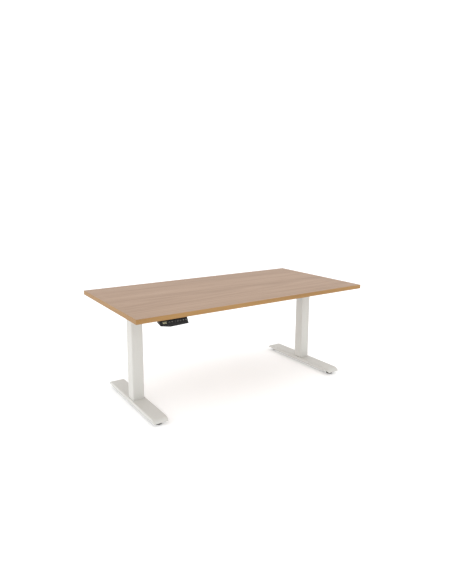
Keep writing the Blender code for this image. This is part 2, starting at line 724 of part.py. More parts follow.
def build_side_rail(side, end, sign, lift):
    """One of the four outer rails, from a side bracket towards the desk's middle."""
    outer = LEG_X + BRACKET_HALF_WIDTH - BRACKET_SHEET - RAIL_END_GAP
    outline = rail_outline(sign * RAIL_FACE, sign * RAIL_LIP, RAIL_BOTTOM, RAIL_TOP, RAIL_BEAD)
    shape = bmesh.new()
    first, last = sorted((-side.inward * outer, -side.inward * RAIL_INNER_END))
    add_prism(shape, outline, first, last)
    name = "side_rail_" + end + "_" + side.name
    rail = add_part(name, shape, "white_steel", (0.0, LEG_Y, 0.0), lift)
    holes = bmesh.new()
    start = sign * RAIL_FACE - FRAME_BOLT_LENGTH / 2
    bore = FRAME_BOLT_RADIUS + STUD_CLEARANCE
    for x in (LEG_X - HEAD_BOLT_SPREAD, LEG_X + HEAD_BOLT_SPREAD):
        add_rod(holes, bore, (-side.inward * x, start, motor_height()), FRAME_BOLT_LENGTH, "Y", 12)
    for x in RAIL_BOLTS:
        add_rod(holes, bore, (-side.inward * x, start, centre_rail_height()), FRAME_BOLT_LENGTH, "Y", 12)
    for x in RAIL_HOLES:
        height = RAIL_BOTTOM + RAIL_BEAD / 2
        add_rod(holes, RAIL_HOLE_RADIUS, (-side.inward * x, start, height), FRAME_BOLT_LENGTH, "Y", 12)
    screw = SCREW_RADIUS + SCREW_CLEARANCE
    screw_x = side.x + side.inward * RAIL_SCREW_X
    place = (screw_x, sign * (RAIL_FACE + RAIL_LIP) / 2, RAIL_TOP - 2 * RAIL_SHEET)
    add_rod(holes, screw, place, 4 * RAIL_SHEET, sides=12)
    add_boolean(rail, name + "_holes", holes)


def centre_rail_height():
    """Middle height of the two centre rails."""
    return HEAD_TOP - CENTRE_RAIL_HEIGHT / 2


def build_centre_rail(end, sign, lift):
    """A narrower rail that slides inside a left and a right side rail."""
    face = sign * (RAIL_FACE - RAIL_SHEET - GAP)
    outline = rail_outline(face, sign * RAIL_LIP, HEAD_TOP - CENTRE_RAIL_HEIGHT, HEAD_TOP)
    shape = bmesh.new()
    add_prism(shape, outline, -CENTRE_RAIL_HALF, CENTRE_RAIL_HALF)
    name = "centre_rail_" + end
    rail = add_part(name, shape, "white_steel", (0.0, LEG_Y, 0.0), lift)
    holes = bmesh.new()
    start = sign * RAIL_FACE - FRAME_BOLT_LENGTH / 2
    bore = FRAME_BOLT_RADIUS + STUD_CLEARANCE
    for x in RAIL_BOLTS:
        for way in (-1, 1):
            add_rod(holes, bore, (way * x, start, centre_rail_height()), FRAME_BOLT_LENGTH, "Y", 12)
    add_boolean(rail, name + "_holes", holes)


def build_side_bracket(side, lift):
    """An angle with a long trapezium side and a tab over the rails, under the tabletop's end."""
    outer = side.x - side.inward * BRACKET_HALF_WIDTH
    inner = outer + side.inward * BRACKET_SHEET
    low = BRACKET_TOP - BRACKET_DEPTH
    end = BRACKET_TOP - BRACKET_END
    outline = [
        (-BRACKET_FRONT, BRACKET_TOP),
        (BRACKET_REAR, BRACKET_TOP),
        (BRACKET_REAR, end),
        (BRACKET_FOOT / 2, low),
        (-BRACKET_FOOT / 2, low),
        (-BRACKET_FRONT, end),
    ]
    shape = bmesh.new()
    add_prism(shape, outline, *sorted((outer, inner)))
    name = "side_bracket_" + side.name
    bracket = add_part(name, shape, "white_steel", (0.0, LEG_Y, 0.0), lift)
    near = outer + side.inward * BRACKET_SHEET / 2
    half = BRACKET_TAB_WIDTH / 2
    for part, front, rear, reach in (
        ("_flange", -BRACKET_FRONT, BRACKET_REAR, BRACKET_FLANGE),
        ("_tab", -half, half, BRACKET_TAB),
    ):
        sheet = bmesh.new()
        xs = sorted((near, outer + side.inward * reach))
        add_box(sheet, (xs[0], front, BRACKET_TOP - BRACKET_SHEET), (xs[1], rear, BRACKET_TOP))
        add_boolean(bracket, name + part, sheet, "UNION")
    holes = bmesh.new()
    for x, y in bracket_screws(side):
        place = (x, y, BRACKET_TOP - 2 * BRACKET_SHEET)
        add_rod(holes, SCREW_RADIUS + SCREW_CLEARANCE, place, 3 * BRACKET_SHEET, sides=12)
    add_boolean(bracket, name + "_holes", holes)


def bracket_screws(side):
    """Screw places in a side bracket: x, and y from the column axis."""
    middle = (RAIL_FACE + RAIL_LIP) / 2
    outer = side.x - side.inward * BRACKET_SCREW_X
    inner = side.x + side.inward * RAIL_SCREW_X
    return [
        (outer, -BRACKET_FRONT + BRACKET_SCREW_INSET),
        (inner, -middle),
        (inner, middle),
        (outer, BRACKET_REAR - BRACKET_SCREW_INSET),
    ]


# Tabletop


def screw_places():
    """The (x, y) place of every screw that goes up into the tabletop."""
    places = [(x, LEG_Y + y) for side in SIDES for x, y in bracket_screws(side)]
    ears = (BOX_START - EAR_LENGTH / 2, BOX_START + BOX_LENGTH + EAR_LENGTH / 2)
    return places + [(x, LEG_Y) for x in ears]


def build_tabletop(lift):
    """The board and its four edge bands."""
    half_x = DESK_WIDTH / 2
    half_y = DESK_DEPTH / 2
    inset = BAND_THICKNESS + GAP
    shape = bmesh.new()
    low = (-half_x + inset, -half_y + inset, UNDERSIDE)
    high = (half_x - inset, half_y - inset, LOW_HEIGHT)
    add_box(shape, low, high)
    board = add_part("tabletop_board", shape, "wood_face", (0.0, DESK_Y, 0.0), lift)
    holes = bmesh.new()
    for x, y in screw_places():
        place = (x, y - DESK_Y, UNDERSIDE - SCREW_DEPTH)
        add_rod(holes, SCREW_RADIUS + SCREW_CLEARANCE, place, 2 * SCREW_DEPTH + SCREW_CLEARANCE, sides=12)
    add_boolean(board, "tabletop_board_holes", holes)

    for end, sign in (("front", -1), ("rear", 1)):
        band = bmesh.new()
        ys = sorted((sign * half_y, sign * (half_y - BAND_THICKNESS)))
        add_box(band, (-half_x, ys[0], UNDERSIDE), (half_x, ys[1], LOW_HEIGHT))
        add_part("edge_band_" + end, band, "wood_band", (0.0, DESK_Y, 0.0), lift)
    for side in SIDES:
        band = bmesh.new()
        xs = sorted((-side.inward * half_x, -side.inward * (half_x - BAND_THICKNESS)))
        add_box(band, (xs[0], -half_y + inset, UNDERSIDE), (xs[1], half_y - inset, LOW_HEIGHT))
        add_part("edge_band_" + side.name, band, "wood_band", (0.0, DESK_Y, 0.0), lift)


# Control box and leads


def build_control_box(lift):
    """The casing with two ears and its sockets, and the circuit board inside."""
    top = UNDERSIDE - BOX_DROP
    bottom = top - BOX_HEIGHT
    end = BOX_START + BOX_LENGTH
    half = BOX_WIDTH / 2
    shape = bmesh.new()
    add_box(shape, (BOX_START, -half, bottom), (end, half, top))
    box = add_part("control_box", shape, "black_plastic", (0.0, LEG_Y, 0.0), lift)
    hollow = bmesh.new()
    add_box(
        hollow,
        (BOX_START + BOX_WALL, -half + BOX_WALL, bottom + BOX_WALL),
        (end - BOX_WALL, half - BOX_WALL, top - BOX_WALL),
    )
    add_boolean(box, "control_box_hollow", hollow)
    ears = bmesh.new()
    ear_top = UNDERSIDE - GAP
    for start, stop, wall in (
        (BOX_START - EAR_LENGTH, BOX_START + BOX_WALL / 2, BOX_START - BOX_WALL),
        (end - BOX_WALL / 2, end + EAR_LENGTH, end),
    ):
        add_box(ears, (start, -EAR_WIDTH / 2, ear_top - BOX_WALL), (stop, EAR_WIDTH / 2, ear_top))
        stem = bmesh.new()
        add_box(
            stem,
            (wall, -EAR_WIDTH / 2 + GAP, top - BOX_HEIGHT / 2),
            (wall + BOX_WALL, EAR_WIDTH / 2 - GAP, ear_top - BOX_WALL / 2),
        )
        add_boolean(box, "control_box_stem_" + str(len(box.modifiers)), stem, "UNION")
    add_boolean(box, "control_box_ears", ears, "UNION")
    cuts = bmesh.new()
    for x in (BOX_START - EAR_LENGTH / 2, end + EAR_LENGTH / 2):
        place = (x, 0.0, ear_top - 2 * BOX_WALL)
        add_rod(cuts, SCREW_RADIUS + SCREW_CLEARANCE, place, 3 * BOX_WALL, sides=12)
    for wall, y in SOCKETS:
        x = BOX_START if wall == "left" else end
        add_box(
            cuts,
            (x - 2 * BOX_WALL, y - SOCKET_WIDTH / 2, UNDERSIDE + SOCKET_DROP - SOCKET_HEIGHT / 2),
            (x + 2 * BOX_WALL, y + SOCKET_WIDTH / 2, UNDERSIDE + SOCKET_DROP + SOCKET_HEIGHT / 2),
        )
    add_boolean(box, "control_box_cuts", cuts)

    board = bmesh.new()
    level = UNDERSIDE - BOARD_DROP
    add_box(
        board,
        (BOX_START + 2 * BOX_WALL, -half + 2 * BOX_WALL, level),
        (end - 2 * BOX_WALL, half - 2 * BOX_WALL, level + BOARD_THICKNESS),
    )
    circuit = add_part("circuit_board", board, "board_green", (0.0, LEG_Y, 0.0), lift)
    blocks = bmesh.new()
    for x, y, length, width, height in BOARD_BLOCKS:
        low = (BOX_START + x, y - width / 2, level + BOARD_THICKNESS / 2)
        add_box(blocks, low, (BOX_START + x + length, y + width / 2, level + height))
    add_boolean(circuit, "circuit_board_blocks", blocks, "UNION")


def smooth_route(points, spacing):
    """Read points from a smooth curve that passes through every point of a route."""
    points = [Vector(p) for p in points]
    spans = [(far - near).length for near, far in zip(points, points[1:])]
    slopes = [(far - near) / span for near, far, span in zip(points, points[1:], spans)]
    ways = [slopes[0]]
    for k in range(1, len(points) - 1):
        weight = spans[k - 1] / (spans[k - 1] + spans[k])
        ways.append(slopes[k - 1].lerp(slopes[k], weight))
    ways.append(slopes[-1])
    route = []
    for k, span in enumerate(spans):
        count = max(1, round(span / spacing))
        for i in range(count):
            t = i / count
            rest = 1.0 - t
            near = points[k] * (1 + 2 * t) * rest ** 2 + ways[k] * span * t * rest ** 2
            far = points[k + 1] * t ** 2 * (3 - 2 * t) - ways[k + 1] * span * t ** 2 * rest
            route.append(near + far)
    route.append(points[-1])
    return route


def build_lead(name, points, diameter, lift):
    """A round lead along a route; its points are from the tabletop's middle and underside."""
    curve = bpy.data.curves.new(name, "CURVE")
    curve.dimensions = "3D"
    curve.bevel_depth = diameter / 2
    curve.bevel_resolution = LEAD_SIDES
    curve.use_fill_caps = True
    spline = curve.splines.new("POLY")
    route = smooth_route(points, LEAD_SPACING * diameter)
    spline.points.add(len(route) - 1)
    for point, place in zip(spline.points, route):
        point.co = (*place, 1.0)
    curve.materials.append(material("black_rubber"))
    lead = bpy.data.objects.new(name, curve)
    lead.location = (0.0, DESK_Y, UNDERSIDE)
    lead.parent = lift
    bpy.context.scene.collection.objects.link(lead)


def build_cable_clips(lift):
    """Two saddles under the front centre rail, and a clip under the tabletop for the handset's lead."""
    top = HEAD_TOP - CENTRE_RAIL_HEIGHT - GAP - UNDERSIDE
    half = CLIP_LENGTH / 2
    for name, x in zip(("cable_saddle_left", "cable_saddle_middle"), CLIPS):
        shape = bmesh.new()
        add_box(shape, (-half, CLIP_FRONT_Y, CLIP_BOTTOM), (half, CLIP_REAR_Y, top))
        saddle = add_part(name, shape, "black_plastic", (x, DESK_Y, UNDERSIDE), lift)
        holes = bmesh.new()
        for place, diameter in ((HANDSET_LEAD_PLACE, HANDSET_LEAD), (MOTOR_LEAD_PLACE, MOTOR_LEAD)):
            bore = diameter / 2 + CLIP_HOLE_CLEARANCE
            add_rod(holes, bore, (-CLIP_LENGTH, *place), 2 * CLIP_LENGTH, "X", 16)
        add_boolean(saddle, name + "_holes", holes)
    shape = bmesh.new()
    add_box(shape, (-half, -half, -2 * HANDSET_LEAD_DROP), (half, half, -GAP))
    place = (handset_lead_x(), DESK_Y + HANDSET_CLIP_Y, UNDERSIDE)
    clip = add_part("handset_lead_clip", shape, "black_plastic", place, lift)
    hole = bmesh.new()
    bore = HANDSET_LEAD / 2 + CLIP_HOLE_CLEARANCE
    add_rod(hole, bore, (0.0, -CLIP_LENGTH, -HANDSET_LEAD_DROP), 2 * CLIP_LENGTH, "Y", 16)
    add_boolean(clip, "handset_lead_clip_hole", hole)


def handset_lead_x():
    """Where the handset's lead leaves its back."""
    return handset_left() + HANDSET_WIDTH / 2


def build_leads(lift):
    """The handset's lead and the two motor leads."""
    x = handset_lead_x()
    drop = -HANDSET_LEAD_DROP
    back = -DESK_DEPTH / 2 + HANDSET_INSET + HANDSET_BACK + GAP
    y, z = HANDSET_LEAD_PLACE
    under = RAIL_BOTTOM - UNDERSIDE - LEAD_CLEARANCE
    box_left = BOX_START + BOX_WALL
    box_right = BOX_START + BOX_LENGTH - BOX_WALL
    socket = LEG_SETBACK + SOCKETS[0][1]
    build_lead(
        "handset_lead",
        [
            (x, back, drop),
            (x, back + 0.020, drop),
            (x, HANDSET_CLIP_Y - 0.010, drop),
            (x, HANDSET_CLIP_Y + 0.010, drop),
            (x + 0.010, -0.190, -0.018),
            (x + 0.026, -0.140, -0.036),
            (x + 0.036, -0.112, -0.058),
            (x + 0.052, -0.104, -0.078),
            (x + 0.072, -0.104, -0.086),
            (x + 0.094, -0.106, -0.078),
            (x + 0.110, -0.106, under - 0.004),
            (x + 0.122, -0.098, under),
            (x + 0.132, -0.078, under - 0.001),
            (x + 0.142, -0.058, under - 0.001),
            (x + 0.152, -0.0465, under),
            (x + 0.166, -0.0420, -0.0550),
            (x + 0.200, y, z),
            (-0.300, y, z),
            (CLIPS[0] - CLIP_LENGTH, y, z),
            (CLIPS[0] + CLIP_LENGTH, y, z),
            (-0.072, y - 0.002, z - 0.005),
            (CLIPS[1] - CLIP_LENGTH, y, z),
            (CLIPS[1] + CLIP_LENGTH, y, z),
            (0.020, y + 0.002, z + 0.002),
            (0.044, socket - 0.003, SOCKET_DROP - 0.012),
            (0.060, socket, SOCKET_DROP - 0.001),
            (box_left, socket, SOCKET_DROP),
        ],
        HANDSET_LEAD,
        lift,
    )
    motor_end = LEG_X - HEAD_LENGTH / 2 - MOTOR_LENGTH - 3 * GAP
    height = motor_height() - UNDERSIDE
    my, mz = MOTOR_LEAD_PLACE
    socket_rear = LEG_SETBACK + SOCKETS[1][1]
    build_lead(
        "motor_lead_left",
        [
            (-motor_end, LEG_SETBACK, height),
            (-motor_end + 0.020, LEG_SETBACK, height),
            (-motor_end + 0.070, LEG_SETBACK + 0.006, height - 0.006),
            (-0.300, LEG_SETBACK + 0.004, height - 0.004),
            (CLIPS[0] - CLIP_LENGTH, my, mz),
            (CLIPS[0] + CLIP_LENGTH, my, mz),
            (-0.096, my, mz + 0.003),
            (-0.068, my + 0.003, mz + 0.007),
            (-0.042, my, mz + 0.003),
            (CLIPS[1] - CLIP_LENGTH, my, mz),
            (CLIPS[1] + CLIP_LENGTH, my, mz),
            (0.020, my + 0.005, mz + 0.003),
            (0.042, socket_rear - 0.006, SOCKET_DROP - 0.012),
            (0.060, socket_rear, SOCKET_DROP - 0.001),
            (box_left, socket_rear, SOCKET_DROP),
        ],
        MOTOR_LEAD,
        lift,
    )
    right = LEG_SETBACK + SOCKETS[2][1]
    build_lead(
        "motor_lead_right",
        [
            (motor_end, LEG_SETBACK, height),
            (motor_end - 0.014, LEG_SETBACK - 0.001, height - 0.001),
            (motor_end - 0.028, LEG_SETBACK - 0.008, height - 0.018),
            (motor_end - 0.042, LEG_SETBACK - 0.014, height - 0.038),
            (motor_end - 0.058, LEG_SETBACK - 0.018, height - 0.045),
            (motor_end - 0.076, right + 0.006, height - 0.034),
            (motor_end - 0.100, right, SOCKET_DROP - 0.012),
            (box_right + 0.030, right, SOCKET_DROP - 0.002),
            (box_right + 0.014, right, SOCKET_DROP),
            (box_right, right, SOCKET_DROP),
        ],
        MOTOR_LEAD,
        lift,
    )


# Handset


def handset_left():
    """The handset's left end."""
    return -DESK_WIDTH / 2 + HANDSET_LEFT


def face_top():
    """Middle of the upper edge of the handset's face."""
    y = DESK_Y - DESK_DEPTH / 2 + HANDSET_INSET
    return (handset_left() + HANDSET_WIDTH / 2, y, UNDERSIDE - GAP)


def panel_middle():
    """How far down its sloping face the panel's middle is."""
    return PANEL_MARGIN + PANEL_HEIGHT / 2


def build_handset(lift):
    """The handset's shell, face panel, display lens and seven buttons."""
    middle = HANDSET_WIDTH / 2
    stations = (
        (-middle, HANDSET_DROP_LEFT),
        (-middle + HANDSET_DEEPEST, HANDSET_DROP),
        (middle, HANDSET_DROP_RIGHT),
    )
    shape = bmesh.new()
    loops = []
    for x, drop in stations:
        outline = (
            (0.0, 0.0),
            (-drop * HANDSET_SLOPE, -drop),
            (HANDSET_BACK, -HANDSET_BACK_DROP),
            (HANDSET_BACK, 0.0),
        )
        loops.append([shape.verts.new((x, y, z)) for y, z in outline])
    for near, far in zip(loops, loops[1:]):
        for i in range(4):
            j = (i + 1) % 4
            shape.faces.new((near[i], near[j], far[j], far[i]))
    shape.faces.new(loops[0])
    shape.faces.new(reversed(loops[-1]))
    bmesh.ops.triangulate(shape, faces=shape.faces)
    shell = add_part("handset_shell", shape, "black_plastic", face_top(), lift)

    face = add_empty("handset_face", face_top(), (FACE_ANGLE, 0.0, 0.0))
    face.parent = lift
    turn = Matrix.Rotation(FACE_ANGLE, 4, "X")
    half = middle - PANEL_MARGIN
    top = -PANEL_MARGIN
    bottom = top - PANEL_HEIGHT
    recess = bmesh.new()
    add_box(recess, (-half, bottom, -PANEL_THICKNESS - GAP), (half, top, PANEL_THICKNESS))
    bmesh.ops.transform(recess, matrix=turn, verts=recess.verts)
    add_boolean(shell, "handset_shell_recess", recess)
    cavity = bmesh.new()
    add_box(
        cavity,
        (-half + GAP, bottom + CAVITY_MARGIN, -BUTTON_CAVITY),
        (half - GAP, top - PANEL_MARGIN, 0.0),
    )
    bmesh.ops.transform(cavity, matrix=turn, verts=cavity.verts)
    add_boolean(shell, "handset_shell_cavity", cavity)

    plate = bmesh.new()
    fit = GAP
    add_box(plate, (-half + fit, bottom + fit, -PANEL_THICKNESS), (half - fit, top - fit, 0.0))
    panel = add_part("handset_panel", plate, "gloss_panel", parent=face)
    windows = bmesh.new()
    row = -panel_middle()
    width = BUTTON_WIDTH / 2 + BUTTON_CLEARANCE
    height = BUTTON_HEIGHT / 2 + BUTTON_CLEARANCE
    for x in button_row():
        add_box(windows, (x - width, row - height, -WINDOW_CUT), (x + width, row + height, WINDOW_CUT))
    display = -middle + DISPLAY_CENTRE
    width = DISPLAY_WIDTH / 2 + BUTTON_CLEARANCE
    low = (display - width, row - height, -WINDOW_CUT)
    add_box(windows, low, (display + width, row + height, WINDOW_CUT))
    add_boolean(panel, "handset_panel_windows", windows)

    lens = bmesh.new()
    width = DISPLAY_WIDTH / 2
    height = BUTTON_HEIGHT / 2
    add_box(lens, (display - width, row - height, -PANEL_THICKNESS), (display + width, row + height, 0.0))
    add_part("handset_display", lens, "display_lens", parent=face)

    for name, x in zip(BUTTON_NAMES, button_row()):
        axis = add_empty(name + "_axis", (x, row, 0.0))
        axis.parent = face
        cap = bmesh.new()
        size = (BUTTON_WIDTH / 2, BUTTON_HEIGHT / 2)
        low = (-size[0], -size[1], BUTTON_PROUD - BUTTON_THICKNESS)
        add_box(cap, low, (size[0], size[1], BUTTON_PROUD))
        button = add_part(name, cap, "button_rubber", parent=axis)
        edge = button.modifiers.new("rounded_edges", "BEVEL")
        edge.width = BUTTON_PROUD / 2
        edge.segments = 1


def button_row():
    """Where the buttons are, from the middle of the handset."""
    first = -HANDSET_WIDTH / 2 + FIRST_BUTTON
    return [first + BUTTON_PITCH * index for index in range(BUTTON_COUNT)]


class Side:
    """The left or the right column: its name, place and the way to the desk's middle."""

    def __init__(self, name, way):
        self.name = name
        self.x = way * LEG_X
        self.inward = -way


SIDES = (Side("left", -1), Side("right", 1))


def main():
    """Build the whole desk."""
    clear_scene()
    base = add_empty("base", (0.0, 0.0, 0.0))
    lift = add_empty("lift", (0.0, 0.0, 0.0))
    lift.parent = base
    for side in SIDES:
        middle = add_empty("middle_" + side.name, (side.x, LEG_Y, 0.0))
        middle.parent = base
        lower_axis = add_empty("lower_spindle_axis_" + side.name, (0.0, 0.0, 0.0))
        lower_axis.parent = middle
        upper_axis = add_empty("upper_spindle_axis_" + side.name, (side.x, LEG_Y, 0.0))
        upper_axis.parent = lift
        build_foot(side, base)
        build_outer_tube(side, base)
        build_collar("outer_collar", side, OUTER_SIZE, MIDDLE_SIZE, OUTER_TOP, base)
        build_middle_tube(side, middle)
        build_collar("middle_collar", side, MIDDLE_SIZE, INNER_SIZE, MIDDLE_TOP, middle)
        build_inner_tube(side, lift)
        build_spindle_set(side, base, lower_axis, upper_axis)
        build_gear_head(side, lift)
        build_motor(side, lift)
        build_side_bracket(side, lift)
        for end, sign in (("front", -1), ("rear", 1)):
            build_side_rail(side, end, sign, lift)
    for end, sign in (("front", -1), ("rear", 1)):
        build_centre_rail(end, sign, lift)
    build_glides(base)
    build_tabletop(lift)
    build_control_box(lift)
    build_cable_clips(lift)
    build_leads(lift)
    build_handset(lift)


main()
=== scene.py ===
"""Looks of a height adjustable desk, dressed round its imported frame.

Metres, +Z up, +X to the sitter's right. Places come from the frame's own boxes.
Each sub-assembly is a class with its sizes as fields and methods that model and dress it.
"""

import logging
from dataclasses import dataclass
from enum import Enum
from math import atan2, cos, pi, radians, sin
from typing import Any, Callable, Iterable, Sequence

import bpy
from mathutils import Matrix, Vector

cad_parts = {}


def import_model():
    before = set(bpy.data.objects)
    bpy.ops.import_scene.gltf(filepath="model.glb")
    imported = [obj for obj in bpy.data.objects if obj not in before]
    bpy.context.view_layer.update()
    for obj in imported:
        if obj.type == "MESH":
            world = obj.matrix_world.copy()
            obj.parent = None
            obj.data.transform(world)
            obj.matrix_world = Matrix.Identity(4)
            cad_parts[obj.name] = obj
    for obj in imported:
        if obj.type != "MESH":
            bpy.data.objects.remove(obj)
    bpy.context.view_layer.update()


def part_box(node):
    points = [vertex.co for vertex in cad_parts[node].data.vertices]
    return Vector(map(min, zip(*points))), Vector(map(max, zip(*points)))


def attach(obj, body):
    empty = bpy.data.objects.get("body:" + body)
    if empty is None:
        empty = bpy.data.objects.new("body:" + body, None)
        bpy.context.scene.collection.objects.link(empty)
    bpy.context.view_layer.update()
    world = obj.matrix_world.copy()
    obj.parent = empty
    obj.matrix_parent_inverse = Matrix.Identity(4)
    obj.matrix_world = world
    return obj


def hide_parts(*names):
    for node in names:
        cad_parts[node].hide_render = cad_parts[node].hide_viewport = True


LOG = logging.getLogger("desk")
GAP = 0.0003  # metres kept free between pieces, as in the frame
SMOOTH_ANGLE = radians(32)
FLAT_ANGLE = radians(0.5)  # faces this level with each other become one
WELD = 1e-6
NEAR = 1e-4  # lengths this close count as the same
MOSTLY = 0.9  # share of a direction along an axis that counts as lying along it
SHARP = 50.0  # degrees; only edges sharper than this are rounded on a finished shape
DRILL = 0.012  # long enough for a hole through any sheet
COARSE, ROUND, FINE = 20, 24, 40  # sides of small, plain and wide circles

Point = Sequence[float]
Path = Sequence[tuple[float, float]]
Colour = tuple[float, float, float]
Test = Callable[[Vector, Vector], bool]


def tone(red: int, green: int, blue: int) -> Colour:
    """Turn a screen colour, 0 to 255, into the linear colour that a shader takes.

    Args:
        red: Red, 0 to 255.
        green: Green, 0 to 255.
        blue: Blue, 0 to 255.

    Returns:
        The linear colour.
    """
    shares = [value / 255 for value in (red, green, blue)]
    linear = [s / 12.92 if s <= 0.04045 else ((s + 0.055) / 1.055) ** 2.4 for s in shares]
    return (linear[0], linear[1], linear[2])


def dimmed(colour: Colour, share: float, lift: float = 0.0) -> Colour:
    """A colour times a share, plus a lift."""
    red, green, blue = (value * share + lift for value in colour)
    return (red, green, blue)


class Slot(Enum):
    """Names of material slots."""

    WHITE_STEEL = "white_powder_coat"
    ZINC = "zinc_steel"
    BRASS = "nut_brass"
    GUIDE = "guide_plastic"
    HOUSING = "black_plastic"
    PANEL = "gloss_panel"
    LENS = "display_lens"
    BUTTON = "button_plastic"
    RUBBER = "black_rubber"
    SHEATH = "lead_sheath"
    MOTOR = "motor_steel"
    ALLOY = "cast_alloy"
    CIRCUIT = "circuit_green"
    WOOD = "wood_face"
    BAND = "wood_band"


class Side(Enum):
    """The desk's two ends; the value is the sign of their x."""

    LEFT = -1
    RIGHT = 1

    @property
    def label(self) -> str:
        """The end's name in the frame's node names."""
        return self.name.lower()


class End(Enum):
    """Front and rear; the value is the sign of their y from the column's axis."""

    FRONT = -1
    REAR = 1

    @property
    def label(self) -> str:
        """The end's name in the frame's node names."""
        return self.name.lower()


class Element(Enum):
    """What a pick selects; the value is the mesh select mode."""

    VERT = (True, False, False)
    EDGE = (False, True, False)
    FACE = (False, False, True)


class Grain(Enum):
    """The way wood grain runs; the value stretches the pattern along that way."""

    ALONG_X = (1.0, 18.0, 18.0)
    ALONG_Y = (18.0, 1.0, 18.0)


# Shader writing


class Level:
    """A shader number that adds its own Math nodes when it is used in an expression."""

    def __init__(self, graph: "Graph", socket: bpy.types.NodeSocket) -> None:
        """Wrap a socket of a graph."""
        self.graph = graph
        self.socket = socket

    def join(self, operation: str, *values: Any) -> "Level":
        """Add a Math node that takes numbers and levels."""
        made = self.graph.node("ShaderNodeMath", {"operation": operation}, dict(enumerate(values)))
        return Level(self.graph, made.outputs[0])

    def __add__(self, other: Any) -> "Level":
        """This plus another."""
        return self.join("ADD", self, other)

    __radd__ = __add__

    def __sub__(self, other: Any) -> "Level":
        """This minus another."""
        return self.join("SUBTRACT", self, other)

    def __rsub__(self, other: Any) -> "Level":
        """Another minus this."""
        return self.join("SUBTRACT", other, self)

    def __mul__(self, other: Any) -> "Level":
        """This times another."""
        return self.join("MULTIPLY", self, other)

    __rmul__ = __mul__

    def above(self, edge: float, soft: float) -> "Level":
        """A mask that goes smoothly from 0 to 1 where this passes an edge.

        Args:
            edge: The level at the middle of the step.
            soft: Half the step's width.

        Returns:
            The mask.
        """
        settings = {"interpolation_type": "SMOOTHSTEP"}
        inputs = {0: self, 1: edge - soft, 2: edge + soft}
        return Level(self.graph, self.graph.node("ShaderNodeMapRange", settings, inputs).outputs[0])


class Graph:
    """The node tree of one material, with one way to add any node."""

    def __init__(self, name: str) -> None:
        """Start an empty material.

        Args:
            name: The material's name.
        """
        self.material = bpy.data.materials.new(name)
        self.material.use_nodes = True
        self.tree = self.material.node_tree
        self.tree.nodes.clear()

    def node(
        self,
        kind: str,
        settings: dict[str, Any] | None = None,
        inputs: dict[Any, Any] | None = None,
    ) -> Any:
        """Add a node, set it, then feed it.

        Args:
            kind: The node's type.
            settings: Its properties; "stops" gives a ramp's places and colours.
            inputs: Values, levels or sockets by input name or number.

        Returns:
            The node.
        """
        made = self.tree.nodes.new(kind)
        for key, value in (settings or {}).items():
            if key == "stops":
                self._stops(made.color_ramp, value)
            else:
                setattr(made, key, value)
        for key, value in (inputs or {}).items():
            self.feed(made.inputs[key], value)
        return made

    @staticmethod
    def _stops(ramp: bpy.types.ColorRamp, stops: Sequence[tuple[float, Colour]]) -> None:
        """Give a colour ramp its stops."""
        while len(ramp.elements) < len(stops):
            ramp.elements.new(1.0)
        for element, (place, colour) in zip(ramp.elements, stops):
            element.position = place
            element.color = (*colour, 1.0)

    def feed(self, socket: bpy.types.NodeSocket, value: Any) -> None:
        """Link a socket, or set it where the value is a plain number or colour.

        Args:
            socket: The input to fill.
            value: A level, a socket, a number or a colour.
        """
        if isinstance(value, Level):
            self.tree.links.new(value.socket, socket)
        elif isinstance(value, bpy.types.NodeSocket):
            self.tree.links.new(value, socket)
        elif socket.type == "RGBA":
            socket.default_value = (*value[:3], 1.0)
        else:
            socket.default_value = value

    def place(self, scale: Point = (1.0, 1.0, 1.0), shift: Point = (0.0, 0.0, 0.0)) -> Any:
        """Object coordinates, shifted and scaled.

        Args:
            scale: Scale of each axis; a large one makes a fine pattern.
            shift: Where the pattern starts.

        Returns:
            The vector socket.
        """
        source = self.node("ShaderNodeTexCoord").outputs["Object"]
        inputs = {"Vector": source, "Scale": scale, "Location": shift}
        return self.node("ShaderNodeMapping", None, inputs).outputs["Vector"]

    def noise(
        self, scale: float, vector: Any = None, detail: float = 3.0, rough: float = 0.55
    ) -> Level:
        """Soft noise between 0 and 1.

        Args:
            scale: Bumps for each metre of the vector.
            vector: Where to read it; plain object coordinates when left out.
            detail: How many finer layers it has.
            rough: How strong those layers are.

        Returns:
            The noise level.
        """
        inputs = {"Vector": vector or self.place(), "Scale": scale}
        inputs |= {"Detail": detail, "Roughness": rough}
        return Level(self, self.node("ShaderNodeTexNoise", None, inputs).outputs["Fac"])

    def blend(self, share: Any, first: Any, second: Any, way: str = "MIX") -> Any:
        """Mix two colours or their sockets; the share is how much of the second shows."""
        settings = {"data_type": "RGBA", "blend_type": way}
        return self.node("ShaderNodeMix", settings, {0: share, 6: first, 7: second}).outputs[2]

    def bump(self, height: Level, depth: float, strength: float = 1.0, under: Any = None) -> Any:
        """Turn a height into a normal.

        Args:
            height: The level that stands up.
            depth: How far level 1 stands above level 0, in metres.
            strength: How much of it shows.
            under: A normal from another bump below it.

        Returns:
            The normal socket.
        """
        inputs = {"Height": height, "Distance": depth, "Strength": strength}
        if under is not None:
            inputs["Normal"] = under
        return self.node("ShaderNodeBump", None, inputs).outputs["Normal"]

    def close(self, **inputs: Any) -> bpy.types.Material:
        """Add the surface shader and the output.

        Args:
            inputs: The shader's sockets, with _ for the space in their names.

        Returns:
            The finished material.
        """
        named = {key.replace("_", " "): value for key, value in inputs.items()}
        shader = self.node("ShaderNodeBsdfPrincipled", None, named)
        self.node("ShaderNodeOutputMaterial", None, {"Surface": shader.outputs[0]})
        return self.material


# Finishes


